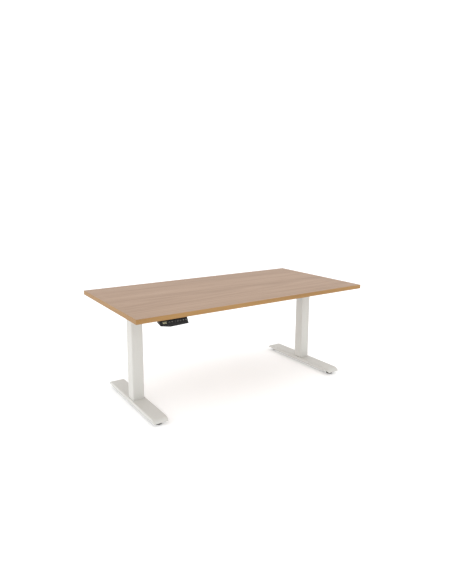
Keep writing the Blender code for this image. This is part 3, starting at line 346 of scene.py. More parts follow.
@dataclass(frozen=True)
class Finish:
    """A surface finish: its name, a slot name and its main colour."""

    name: str
    slot: Slot
    colour: Colour

    def material(self) -> bpy.types.Material:
        """The finish's material, made the first time it is asked for."""
        return bpy.data.materials.get(self.name) or self.paint(Graph(self.name))

    def paint(self, graph: Graph) -> bpy.types.Material:
        """Write the shader; each kind of finish has its own."""
        raise NotImplementedError


@dataclass(frozen=True)
class PowderCoat(Finish):
    """Baked powder paint: fine orange peel, and faint cloudiness in its tone."""

    roughness: float = 0.42
    peel: float = 0.00012

    def paint(self, graph: Graph) -> bpy.types.Material:
        """Write the shader.

        Args:
            graph: The material's node tree.

        Returns:
            The finished material.
        """
        cloud = graph.noise(5.0, detail=2.0)
        speck = graph.noise(2600.0, detail=1.0)
        shade = graph.blend(cloud, dimmed(self.colour, 0.965), self.colour)
        shade = graph.blend(speck.above(0.70, 0.03) * 0.10, shade, dimmed(self.colour, 0.80))
        peel = graph.noise(650.0, detail=2.0)
        return graph.close(
            Base_Color=shade,
            Roughness=self.roughness - 0.05 + cloud * 0.06 + peel * 0.06,
            Normal=graph.bump(peel, self.peel, 0.55),
            Specular_IOR_Level=0.45,
        )


@dataclass(frozen=True)
class WoodGrain(Finish):
    """Printed oak with long streaks, drawn-out growth rings, fibres and short pores."""

    dark: Colour
    light: Colour
    grain: Grain = Grain.ALONG_X
    roughness: float = 0.50
    contrast: float = 1.0

    def paint(self, graph: Graph) -> bpy.types.Material:
        """Write the shader.

        Args:
            graph: The material's node tree.

        Returns:
            The finished material.
        """
        along = self.grain.value
        fine = tuple(1.0 if a == 1.0 else a * 3.0 for a in along)
        wander = graph.noise(0.9, graph.place(along), detail=1.0)
        boards = graph.noise(0.55, graph.place(along, (3.1, 1.7, 0.4)), detail=2.0, rough=0.5)
        streaks = graph.noise(2.4, graph.place(along, (0.0, 5.0, 2.0)), detail=6.0, rough=0.62)
        fibres = graph.noise(11.0, graph.place(fine), detail=4.0, rough=0.7)
        pores = graph.noise(26.0, graph.place(fine, (1.0, 0.3, 0.8)), detail=1.0)
        rings = self._rings(graph, along)
        mark = boards * 0.40 + streaks * 0.42 + rings * 0.10 + wander * 0.10
        warm = graph.blend(mark.above(0.50, 0.24 / self.contrast), self.dark, self.light)
        body = graph.blend(0.45, warm, self.colour)
        thin = graph.blend(fibres.above(0.56, 0.16) * 0.16, body, dimmed(self.dark, 0.70))
        pored = graph.blend(pores.above(0.70, 0.05) * 0.22, thin, dimmed(self.dark, 0.45))
        pit = 1.0 - pores.above(0.70, 0.05)
        return graph.close(
            Base_Color=pored,
            Roughness=self.roughness + fibres * 0.10 - streaks * 0.05,
            Normal=graph.bump(pit, 0.00006, 0.5, graph.bump(fibres, 0.00005, 0.5)),
            Specular_IOR_Level=0.35,
        )

    @staticmethod
    def _rings(graph: Graph, along: Point) -> Level:
        """Long flame-shaped growth rings.

        Args:
            graph: The material's node tree.
            along: How the grain stretches the pattern.

        Returns:
            The rings' level.
        """
        settings = {"wave_type": "RINGS", "rings_direction": "SPHERICAL"}
        shaped = tuple(a * 0.35 if a == 1.0 else a * 0.30 for a in along)
        inputs = {
            "Vector": graph.place(shaped, (0.7, 0.45, -3.2)),
            "Scale": 2.2,
            "Distortion": 3.5,
            "Detail": 2.0,
            "Detail Scale": 1.3,
        }
        return Level(graph, graph.node("ShaderNodeTexWave", settings, inputs).outputs["Fac"])


@dataclass(frozen=True)
class Metal(Finish):
    """Bare or plated metal with fine tool marks and a little staining."""

    roughness: float = 0.34
    marks: Point = (90.0, 90.0, 1400.0)
    depth: float = 0.00002

    def paint(self, graph: Graph) -> bpy.types.Material:
        """Write the shader.

        Args:
            graph: The material's node tree.

        Returns:
            The finished material.
        """
        lines = graph.noise(1.0, graph.place(self.marks), detail=2.0)
        stain = graph.noise(28.0, detail=4.0, rough=0.6)
        shade = graph.blend(stain, dimmed(self.colour, 0.84), self.colour)
        return graph.close(
            Base_Color=graph.blend(lines * 0.18, shade, dimmed(self.colour, 0.72)),
            Roughness=self.roughness - 0.06 + stain * 0.10 + lines * 0.06,
            Metallic=1.0,
            Normal=graph.bump(lines, self.depth, 0.5),
        )


@dataclass(frozen=True)
class CastAlloy(Finish):
    """Blasted die-cast alloy with a coarse sandy skin."""

    roughness: float = 0.52

    def paint(self, graph: Graph) -> bpy.types.Material:
        """Write the shader.

        Args:
            graph: The material's node tree.

        Returns:
            The finished material.
        """
        sand = graph.noise(1500.0, detail=3.0)
        flow = graph.noise(35.0, detail=3.0)
        shade = graph.blend(flow, dimmed(self.colour, 0.80), self.colour)
        return graph.close(
            Base_Color=shade,
            Roughness=self.roughness - 0.05 + sand * 0.12,
            Metallic=0.85,
            Normal=graph.bump(sand, 0.00010, 0.6),
        )


@dataclass(frozen=True)
class Moulded(Finish):
    """Moulded plastic or rubber with a spark-eroded grain and light handling marks."""

    roughness: float = 0.48
    grain: float = 1300.0
    depth: float = 0.00007
    gloss: float = 0.40

    def paint(self, graph: Graph) -> bpy.types.Material:
        """Write the shader.

        Args:
            graph: The material's node tree.

        Returns:
            The finished material.
        """
        inputs = {"Vector": graph.place(), "Scale": self.grain}
        cell = graph.node("ShaderNodeTexVoronoi", None, inputs)
        pebble = Level(graph, cell.outputs["Distance"])
        wear = graph.noise(14.0, detail=4.0)
        lifted = tuple(min(1.0, c * 1.18 + 0.004) for c in self.colour)
        return graph.close(
            Base_Color=graph.blend(wear, self.colour, lifted),
            Roughness=self.roughness - 0.06 + wear * 0.12,
            Normal=graph.bump(pebble, self.depth, 0.5),
            Specular_IOR_Level=self.gloss,
        )


@dataclass(frozen=True)
class Gloss(Finish):
    """Polished plastic with the faintest wave and a few wiping marks."""

    roughness: float = 0.12
    lit: Colour = (0.0, 0.0, 0.0)
    glow: float = 0.0
    gloss: float = 0.25

    def paint(self, graph: Graph) -> bpy.types.Material:
        """Write the shader.

        Args:
            graph: The material's node tree.

        Returns:
            The finished material.
        """
        wave = graph.noise(30.0, detail=1.0)
        wipe = graph.noise(1.0, graph.place((40.0, 700.0, 700.0)), detail=3.0)
        return graph.close(
            Base_Color=graph.blend(wave, self.colour, dimmed(self.colour, 1.15)),
            Roughness=self.roughness + wipe * 0.06,
            Normal=graph.bump(wave, 0.00004, 0.3),
            Emission_Color=self.lit,
            Emission_Strength=self.glow,
            Specular_IOR_Level=self.gloss,
        )


@dataclass(frozen=True)
class Sheath(Finish):
    """A lead's soft sheath, matt with small scuffs."""

    roughness: float = 0.50

    def paint(self, graph: Graph) -> bpy.types.Material:
        """Write the shader.

        Args:
            graph: The material's node tree.

        Returns:
            The finished material.
        """
        scuff = graph.noise(120.0, detail=4.0)
        fleck = graph.noise(900.0, detail=1.0)
        return graph.close(
            Base_Color=graph.blend(scuff, self.colour, dimmed(self.colour, 1.9, 0.004)),
            Roughness=self.roughness - 0.08 + scuff * 0.16,
            Normal=graph.bump(fleck, 0.00004, 0.5),
            Specular_IOR_Level=0.40,
        )


@dataclass(frozen=True)
class CircuitBoard(Finish):
    """Lacquered board with copper tracks and pale pads."""

    track: Colour = (0.06, 0.26, 0.10)
    pad: Colour = (0.55, 0.50, 0.36)

    def paint(self, graph: Graph) -> bpy.types.Material:
        """Write the shader.

        Args:
            graph: The material's node tree.

        Returns:
            The finished material.
        """
        white = (1.0, 1.0, 1.0)
        brick = {"Vector": graph.place(), "Scale": 160.0, "Mortar Size": 0.12}
        brick |= {"Color1": white, "Color2": white}
        lines = Level(graph, graph.node("ShaderNodeTexBrick", None, brick).outputs["Fac"])
        dots = graph.node("ShaderNodeTexVoronoi", None, {"Vector": graph.place(), "Scale": 240.0})
        pads = 1.0 - Level(graph, dots.outputs["Distance"]).above(0.16, 0.02)
        tracks = graph.blend(lines, self.colour, self.track)
        return graph.close(
            Base_Color=graph.blend(pads, tracks, self.pad),
            Roughness=0.30 + pads * 0.15,
            Normal=graph.bump(lines, 0.00005, 0.5),
        )


WHITE_COAT = PowderCoat("warm_white_powder_coat", Slot.WHITE_STEEL, tone(206, 205, 200))
FACE_TONES = (tone(158, 130, 108), tone(136, 108, 86), tone(178, 150, 127))
BAND_TONES = (tone(158, 118, 67), tone(138, 99, 52), tone(177, 138, 85))
OAK_FACE = WoodGrain("oak_face", Slot.WOOD, *FACE_TONES)
OAK_FRONT = WoodGrain("oak_band_along", Slot.BAND, *BAND_TONES, Grain.ALONG_X, 0.42)
OAK_SIDE = WoodGrain("oak_band_across", Slot.BAND, *BAND_TONES, Grain.ALONG_Y, 0.42)
ZINC = Metal("bright_zinc", Slot.ZINC, (0.62, 0.63, 0.64))
SCREW_ZINC = Metal("screw_zinc", Slot.ZINC, (0.42, 0.42, 0.43), 0.30)
BRASS = Metal("turned_brass", Slot.BRASS, (0.72, 0.52, 0.24), 0.30)
MOTOR_CAN = Metal("drawn_motor_can", Slot.MOTOR, (0.34, 0.345, 0.35), 0.40, (1400.0, 90.0, 90.0))
ALLOY = CastAlloy("blasted_alloy", Slot.ALLOY, (0.42, 0.425, 0.43))
GUIDE = Moulded("grey_guide_plastic", Slot.GUIDE, tone(196, 196, 192), 0.46, 1100.0, 0.00004)
HOUSING = Moulded("grained_black_plastic", Slot.HOUSING, tone(27, 25, 25), 0.46, gloss=0.24)
PANEL = Gloss("gloss_black_panel", Slot.PANEL, tone(20, 18, 18), 0.16)
LENS = Gloss("smoked_lens", Slot.LENS, tone(38, 38, 34), 0.10)
DIGIT = Gloss("lit_digit", Slot.LENS, tone(190, 184, 150), 0.35, tone(206, 200, 160), 0.55)
MARK = Moulded("pale_print", Slot.PANEL, tone(176, 174, 170), 0.55, 2200.0, 0.00001)
BUTTON = Moulded("soft_black_key", Slot.BUTTON, tone(30, 28, 28), 0.55, 1900.0, 0.00003, 0.20)
RUBBER = Moulded("black_rubber_foot", Slot.RUBBER, tone(18, 18, 18), 0.70, 800.0, 0.00012, 0.25)
SHEATH = Sheath("black_lead_sheath", Slot.SHEATH, tone(28, 27, 27))
CIRCUIT = CircuitBoard("green_circuit_board", Slot.CIRCUIT, (0.025, 0.130, 0.050))


# Modelling with operators


def deselect() -> None:
    """Leave nothing selected, because an operator acts on all that is."""
    if bpy.context.mode != "OBJECT":
        bpy.ops.object.mode_set(mode="OBJECT")
    bpy.ops.object.select_all(action="DESELECT")


def near(first: float, second: float) -> bool:
    """Whether two lengths are the same, within a tenth of a millimetre."""
    return abs(first - second) < NEAR


def towards(place: Point, way: Point) -> Matrix:
    """The move from the origin to a place, turning +Z to a way."""
    turn = Vector((0.0, 0.0, 1.0)).rotation_difference(Vector(way)).to_matrix().to_4x4()
    return Matrix.Translation(Vector(place)) @ turn


def centre(node: str) -> Vector:
    """The middle of a frame node's box."""
    low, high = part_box(node)
    return (low + high) / 2


def height_on(line: Path, distance: float) -> float:
    """Read a height off a line of straight stretches.

    Args:
        line: Distances, rising, and the height at each.
        distance: Where to read it. Past the last one the line is level.

    Returns:
        The height there.
    """
    for (start, low), (end, high) in zip(line, line[1:]):
        if distance <= end:
            return low + (high - low) * (distance - start) / (end - start)
    return line[-1][1]


class Work:
    """One mesh being modelled: it starts as a primitive and is shaped in edit mode."""

    def __init__(self, made: bpy.types.Object) -> None:
        """Take hold of an object whose place is in its mesh."""
        self.object = made

    @classmethod
    def started(cls, name: str) -> "Work":
        """Name the new primitive and put its place in its mesh.

        Args:
            name: The piece's name.

        Returns:
            The work on it.
        """
        made = bpy.context.active_object
        made.name = name
        made.data.name = name
        bpy.ops.object.transform_apply(location=True, rotation=True, scale=True)
        return cls(made)

    @classmethod
    def block(cls, name: str, low: Point, high: Point) -> "Work":
        """Start from a cube between two corners.

        Args:
            name: The piece's name.
            low: Its lowest corner.
            high: Its highest corner.

        Returns:
            The work on it.
        """
        deselect()
        low, high = Vector(low), Vector(high)
        bpy.ops.mesh.primitive_cube_add(size=1.0, location=(low + high) / 2, scale=high - low)
        return cls.started(name)

    @classmethod
    def turned(cls, name: str, profile: Path, sides: int = FINE) -> "Work":
        """Turn a solid about the upright axis, from a disc that is extruded and resized.

        Args:
            name: The piece's name.
            profile: Radius and height of each step, from the foot up.
            sides: How many sides the circle has.

        Returns:
            The work on it.
        """
        deselect()
        radius, height = profile[0]
        bpy.ops.mesh.primitive_circle_add(
            vertices=sides, radius=radius, fill_type="NGON", location=(0.0, 0.0, height)
        )
        work = cls.started(name)
        bpy.ops.object.mode_set(mode="EDIT")
        bpy.ops.mesh.select_all(action="SELECT")
        for (last, below), (wide, level) in zip(profile, profile[1:]):
            up = {"value": (0.0, 0.0, level - below)}
            bpy.ops.mesh.extrude_region_move(TRANSFORM_OT_translate=up)
            ratio = wide / last
            bpy.ops.transform.resize(value=(ratio, ratio, 1.0), center_override=(0.0, 0.0, level))
        bpy.ops.object.mode_set(mode="OBJECT")
        return work.outwards()

    @classmethod
    def folded(cls, name: str, path: Path, start: float, end: float) -> "Work":
        """Bend a flat strip along X into a section, one extruded edge for each fold.

        Args:
            name: The piece's name.
            path: The section's (y, z) points.
            start: Lowest x.
            end: Highest x.

        Returns:
            The work on it, still without thickness.
        """
        deselect()
        bpy.ops.mesh.primitive_plane_add(size=1.0)
        work = cls.started(name)
        (y, z), (far_y, far_z) = path[0], path[1]
        corners = ((start, y, z), (end, y, z), (start, far_y, far_z), (end, far_y, far_z))
        for vert, corner in zip(work.object.data.vertices, corners):
            vert.co = corner
        work.object.data.update()
        work.pick(Element.EDGE, lambda at, _: near(at.y, far_y) and near(at.z, far_z))
        bpy.ops.object.mode_set(mode="EDIT")
        for (y, z), (far_y, far_z) in zip(path[1:], path[2:]):
            bpy.ops.mesh.extrude_region_move(
                TRANSFORM_OT_translate={"value": (0.0, far_y - y, far_z - z)}
            )
        bpy.ops.object.mode_set(mode="OBJECT")
        return work

    @classmethod
    def taken(cls, name: str, node: str) -> "Work":
        """Start from a merged copy of a frame node, with flat faces made whole again.

        Args:
            name: The new piece's name.
            node: The frame node that it copies.

        Returns:
            The work on it.
        """
        deselect()
        source = bpy.data.objects[node]
        made = bpy.data.objects.new(name, source.data.copy())
        made.data.materials.clear()
        bpy.context.scene.collection.objects.link(made)
        work = cls(made)
        work.edit(bpy.ops.mesh.remove_doubles, threshold=WELD, everything=True)
        return work.edit(bpy.ops.mesh.dissolve_limited, angle_limit=FLAT_ANGLE, everything=True)

    def discard(self) -> None:
        """Delete the piece, once it has been copied or used."""
        bpy.data.objects.remove(self.object, do_unlink=True)

    def focus(self) -> None:
        """Make this the one selected and active object."""
        deselect()
        self.object.select_set(True)
        bpy.context.view_layer.objects.active = self.object

    def pick(self, element: Element, test: Test) -> "Work":
        """Select the vertices, edges or faces that pass a test.

        Args:
            element: What to select.
            test: Takes a place and a direction: a normal, or an edge's own way.

        Returns:
            This work.
        """
        self.focus()
        mesh = self.object.data
        for group in (mesh.vertices, mesh.edges, mesh.polygons):
            group.foreach_set("select", [False] * len(group))
        bpy.context.tool_settings.mesh_select_mode = element.value
        if element is Element.VERT:
            for vert in mesh.vertices:
                vert.select = test(vert.co, vert.normal)
        elif element is Element.EDGE:
            for edge in mesh.edges:
                first, last = (mesh.vertices[index].co for index in edge.vertices)
                edge.select = test((first + last) / 2, (last - first).normalized())
        else:
            for face in mesh.polygons:
                face.select = test(face.center, face.normal)
        return self

    def edit(
        self, operator: Callable[..., Any], everything: bool = False, **settings: Any
    ) -> "Work":
        """Run one edit-mode operator.

        Args:
            operator: The operator.
            everything: Whether to select the whole mesh first.
            settings: The operator's settings.

        Returns:
            This work.
        """
        self.focus()
        bpy.ops.object.mode_set(mode="EDIT")
        if everything:
            bpy.ops.mesh.select_all(action="SELECT")
        operator(**settings)
        bpy.ops.object.mode_set(mode="OBJECT")
        return self

    def uprights(self) -> "Work":
        """Pick the upright edges."""
        return self.pick(Element.EDGE, lambda _, way: abs(way.z) > MOSTLY)

    def bevel(self, width: float, segments: int = 3) -> "Work":
        """Round the picked edges."""
        return self.edit(bpy.ops.mesh.bevel, offset=width, segments=segments, affect="EDGES")

    def move(self, way: Point) -> "Work":
        """Shift what is picked."""
        return self.edit(bpy.ops.transform.translate, value=way)

    def inset(self, thickness: float, depth: float = 0.0) -> "Work":
        """Inset the picked faces, and sink them where the depth is negative."""
        return self.edit(bpy.ops.mesh.inset, thickness=thickness, depth=depth)

    def split(self, place: Point, normal: Point) -> "Work":
        """Cut a loop of edges where a plane crosses the mesh."""
        return self.edit(bpy.ops.mesh.bisect, True, plane_co=place, plane_no=normal)

    def open(self, test: Test) -> "Work":
        """Delete the faces that pass a test."""
        return self.pick(Element.FACE, test).edit(bpy.ops.mesh.delete, type="FACE")

    def outwards(self) -> "Work":
        """Point every face outwards."""
        return self.edit(bpy.ops.mesh.normals_make_consistent, True, inside=False)

    def apply(self, kind: str, **settings: Any) -> "Work":
        """Add a modifier and apply it.

        Args:
            kind: The modifier's type.
            settings: Its settings.

        Returns:
            This work.
        """
        self.focus()
        made = self.object.modifiers.new(kind.lower(), kind)
        for key, value in settings.items():
            setattr(made, key, value)
        bpy.ops.object.modifier_apply(modifier=made.name)
        return self

    def soften(self, width: float, segments: int = 2, angle: float = 40.0) -> "Work":
        """Round every edge that is sharper than an angle, in degrees."""
        limit = {"limit_method": "ANGLE", "angle_limit": radians(angle)}
        return self.apply("BEVEL", width=width, segments=segments, **limit)

    def thicken(self, thickness: float, offset: float = -1.0) -> "Work":
        """Give a sheet its thickness: inwards at an offset of -1, both ways at 0."""
        sizes = {"thickness": thickness, "offset": offset}
        return self.apply("SOLIDIFY", use_even_offset=True, **sizes).outwards()

    def cut(self, *tools: "Work", how: str = "DIFFERENCE") -> "Work":
        """Cut other works out of this one, or unite them with it; they are used up.

        Args:
            tools: The other shapes.
            how: The Boolean's operation.

        Returns:
            This work.
        """
        for tool in tools:
            self.apply("BOOLEAN", operation=how, object=tool.object, solver="EXACT")
            tool.discard()
        return self

    def bore(
        self,
        places: Iterable[Point],
        axis: Point,
        radius: float,
        length: float = DRILL,
        sides: int = ROUND,
    ) -> "Work":
        """Drill round holes.

        Args:
            places: The middle of each hole.
            axis: The way the drill points.
            radius: The holes' radius.
            length: The drill's length.
            sides: How many sides a hole has.

        Returns:
            This work.
        """
        for place in places:
            drill = Work.turned("drill", ((radius, -length / 2), (radius, length / 2)), sides)
            self.cut(drill.placed(towards(place, axis)))
        return self

    def join(self, *others: "Work") -> "Work":
        """Make other works part of this mesh."""
        self.focus()
        for other in others:
            other.object.select_set(True)
        bpy.ops.object.join()
        return self

    def placed(self, matrix: Matrix) -> "Work":
        """Put a place or a turn into the mesh."""
        self.object.data.transform(matrix)
        if matrix.determinant() < 0:
            self.object.data.flip_normals()
        self.object.data.update()
        return self

    def copy(self, name: str, matrix: Matrix) -> "Work":
        """Copy the piece, with its own mesh.

        Args:
            name: The copy's name.
            matrix: Where the copy goes from here.

        Returns:
            The work on the copy.
        """
        twin = self.object.copy()
        twin.data = self.object.data.copy()
        twin.name = name
        twin.data.name = name
        bpy.context.scene.collection.objects.link(twin)
        return Work(twin).placed(matrix)

    def dress(self, finish: Finish, body: str, *nodes: str) -> "Work":
        """Give the finished piece its material, its shading and the body that it rides on.

        Args:
            finish: The surface finish.
            body: The frame body.
            nodes: The frame nodes that it stands for.

        Returns:
            This work.
        """
        made = self.object
        made.data.materials.clear()
        made.data.materials.append(finish.material())
        self.focus()
        bpy.ops.object.shade_smooth_by_angle(angle=SMOOTH_ANGLE)
        self.apply("WEIGHTED_NORMAL", keep_sharp=True)
        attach(made, body)
        if nodes:
            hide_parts(*nodes)
        LOG.info("%s: %s on %s", made.name, finish.name, body)
        return self


MIRROR = Matrix.Scale(-1.0, 4, (1.0, 0.0, 0.0))


def pair(work: Work, name: str, finish: Finish, body: str, kind: str = "") -> None:
    """Copy a piece of the left end to both ends and dress the copies; it is used up.

    Args:
        work: The left piece.
        name: The copies' name, without their side.
        finish: The surface finish.
        body: The frame body; a last _ takes the side's name after it.
        kind: The nodes that they stand for, without their side; none when left out.
    """
    for side in Side:
        way = MIRROR if side is Side.RIGHT else Matrix.Identity(4)
        nodes = (f"{kind}_{side.label}",) if kind else ()
        rides = body + side.label if body.endswith("_") else body
        work.copy(f"{name}_{side.label}", way).dress(finish, rides, *nodes)
    work.discard()


def keep(node: str, finish: Finish) -> None:
    """Give a frame node that stays its finish.

    Args:
        node: The frame node.
        finish: The surface finish.
    """
    made = bpy.data.objects[node]
    if not made.data.materials:
        made.data.materials.append(None)
    for index in range(len(made.data.materials)):
        made.data.materials[index] = finish.material()
    LOG.info("%s: %s", node, finish.name)


@dataclass(frozen=True)
class Places:
    """Main places of the desk, read from the frame."""

    leg_x: float
    leg_y: float
    desk_y: float
    underside: float
    bolt_spread: float = 0.018

    @classmethod
    def read(cls) -> "Places":
        """Read them.

        Returns:
            The places.
        """
        tube = centre("outer_tube_right")
        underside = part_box("tabletop_board")[0].z
        return cls(tube.x, tube.y, centre("tabletop_board").y, underside)

    def axis(self, side: Side, height: float = 0.0) -> Vector:
        """A column's axis at a height."""
        return Vector((side.value * self.leg_x, self.leg_y, height))

    def bolts(self, side: Side, height: float) -> list[Vector]:
        """The four bolts through a column's floor, at a height."""
        corners = [(x * self.bolt_spread, y * self.bolt_spread) for x in (-1, 1) for y in (-1, 1)]
        return [self.axis(side, height) + Vector((x, y, 0.0)) for x, y in corners]


# Tabletop


@dataclass
class Tabletop:
    """The board and its four glued edge bands."""

    edge_radius: float = 0.0009

    def build(self) -> None:
        """Dress the board and model the bands."""
        keep("tabletop_board", OAK_FACE)
        self.band("edge_band_front", OAK_FRONT, 1, 0)
        self.band("edge_band_rear", OAK_FRONT, 1, 1)
        self.band("edge_band_left", OAK_SIDE, 0, 0)
        self.band("edge_band_right", OAK_SIDE, 0, 1)

    def band(self, node: str, finish: Finish, axis: int, corner: int) -> None:
        """Model one band, with its outer edges scraped round.

        Args:
            node: The frame node that it stands for.
            finish: Its finish.
            axis: 0 where it faces along X, 1 along Y.
            corner: 0 where its outer face is the low one, 1 where it is the high one.
        """
        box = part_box(node)
        outer = box[corner][axis]
        work = Work.block(node.replace("edge_band", "banding"), *box)
        work.pick(
            Element.EDGE,
            lambda at, way: near(at[axis], outer) and (axis == 1 or abs(way.y) > MOSTLY),
        )
        work.bevel(self.edge_radius).dress(finish, "lift", node)


# Feet and columns


@dataclass
class Feet:
    """Folded steel feet with glide bosses."""

    places: Places
    nose: tuple[tuple[float, float], ...] = (
        (0.000, 0.0215),
        (0.007, 0.0300),
        (0.017, 0.0365),
        (0.030, 0.0400),
    )
    skirt: tuple[tuple[float, float], ...] = ((0.000, 0.0185), (0.026, 0.0235), (0.075, 0.0160))
    sheet: float = 0.003
    fold: float = 0.0022
    boss_radius: float = 0.009
    boss_height: float = 0.012
    boss_bore: float = 0.0044
    glide_inset: float = 0.040

    def build(self) -> None:
        """Model the left foot and copy it for the right."""
        pair(self.foot(), "foot_sheet", WHITE_COAT, "base", "foot")

    def foot(self) -> Work:
        """Fold the left foot from a block without its underside.

        Returns:
            The work on it.
        """
        low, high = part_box("foot_left")
        middle = centre("foot_left")
        half = (high.y - low.y) / 2
        bottom = self.skirt[-1][1]
        work = Work.block("foot", (low.x, low.y, bottom), high)
        stations = sorted({distance for distance, _ in self.nose + self.skirt})
        for distance in stations[1:]:
            for end in End:
                place = (middle.x, middle.y + end.value * (half - distance), middle.z)
                work.split(place, (0.0, 1.0, 0.0))
        for distance in stations:
            for line, level in ((self.nose, high.z), (self.skirt, bottom)):
                work.pick(
                    Element.VERT,
                    lambda at, _, level=level, reach=half - distance: (
                        near(at.z, level) and near(abs(at.y - middle.y), reach)
                    ),
                )
                work.move((0.0, 0.0, height_on(line, distance) - level))
        work.open(lambda _, normal: normal.z < -0.8)
        work.soften(self.fold, 4, 25.0).thicken(self.sheet)
        axis = self.places.axis(Side.LEFT, high.z - self.sheet)
        glides = [axis + Vector((0, end.value * (half - self.glide_inset), 0)) for end in End]
        bolts = self.places.bolts(Side.LEFT, high.z)
        work.bore(bolts, (0, 0, 1), self.boss_bore, 4 * self.sheet, COARSE)
        for place in glides:
            work.join(self.boss(place))
        return work

    def boss(self, place: Vector) -> Work:
        """One threaded boss under the roof.

        Args:
            place: Where the boss meets the roof.

        Returns:
            The work on it.
        """
        wide = self.boss_radius
        profile = (
            (wide - 0.0008, -self.boss_height),
            (wide, -self.boss_height + 0.0008),
            (wide, -0.0015),
            (wide + 0.0015, 0.0002),
        )
        work = Work.turned("boss", profile, 32).placed(Matrix.Translation(place))
        return work.bore([place], (0, 0, 1), self.boss_bore, 3 * self.boss_height)


@dataclass
class Glides:
    """Levelling glides: a ribbed rubber disc and a nut on a threaded stud."""

    radius: float = 0.021
    disc: float = 0.010
    flutes: int = 24
    stud: float = 0.004
    pitch: float = 0.00125
    nut_radius: float = 0.0072

    def build(self) -> None:
        """Model one glide and copy it to each place."""
        first = self.glide()
        for side in Side:
            for end in End:
                node = f"glide_{end.label}_{side.label}"
                place = centre(node)
                place.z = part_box(node)[0].z
                made = first.copy(f"levelling_{node}", Matrix.Translation(place))
                made.dress(RUBBER, node, node)
        first.discard()

    def glide(self) -> Work:
        """Turn one glide about the upright axis.

        Returns:
            The work on it.
        """
        wide, disc = self.radius, self.disc
        profile = (
            (wide - 0.0024, 0.0),
            (wide - 0.0008, 0.0006),
            (wide, 0.0022),
            (wide, 0.0068),
            (wide - 0.0010, 0.0084),
            (wide - 0.0050, 0.0095),
            (wide - 0.0080, disc),
            (self.nut_radius, disc),
        )
        work = Work.turned("glide", profile, 2 * self.flutes)
        turn = 2 * pi / (2 * self.flutes)
        work.pick(
            Element.FACE,
            lambda at, normal: abs(normal.z) < 0.1 and int(atan2(at.y, at.x) // turn) % 2 == 0,
        )
        work.inset(0.0005, -0.0007)
        nut = Work.turned("nut", ((self.nut_radius, disc), (self.nut_radius, disc + 0.004)), 6)
        return work.join(nut.soften(0.0004), self.thread())

    def thread(self) -> Work:
        """The stud, with its thread as rings.

        Returns:
            The work on it.
        """
        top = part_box("glide_front_left")[1].z
        profile = [(self.stud * 0.86, self.disc + 0.0035)]
        while profile[-1][1] < top - 2 * self.pitch:
            level = profile[-1][1]
            profile.append((self.stud, level + self.pitch / 2))
            profile.append((self.stud * 0.86, level + self.pitch))
        profile.append((self.stud * 0.80, top))
        return Work.turned("stud", profile, 20)


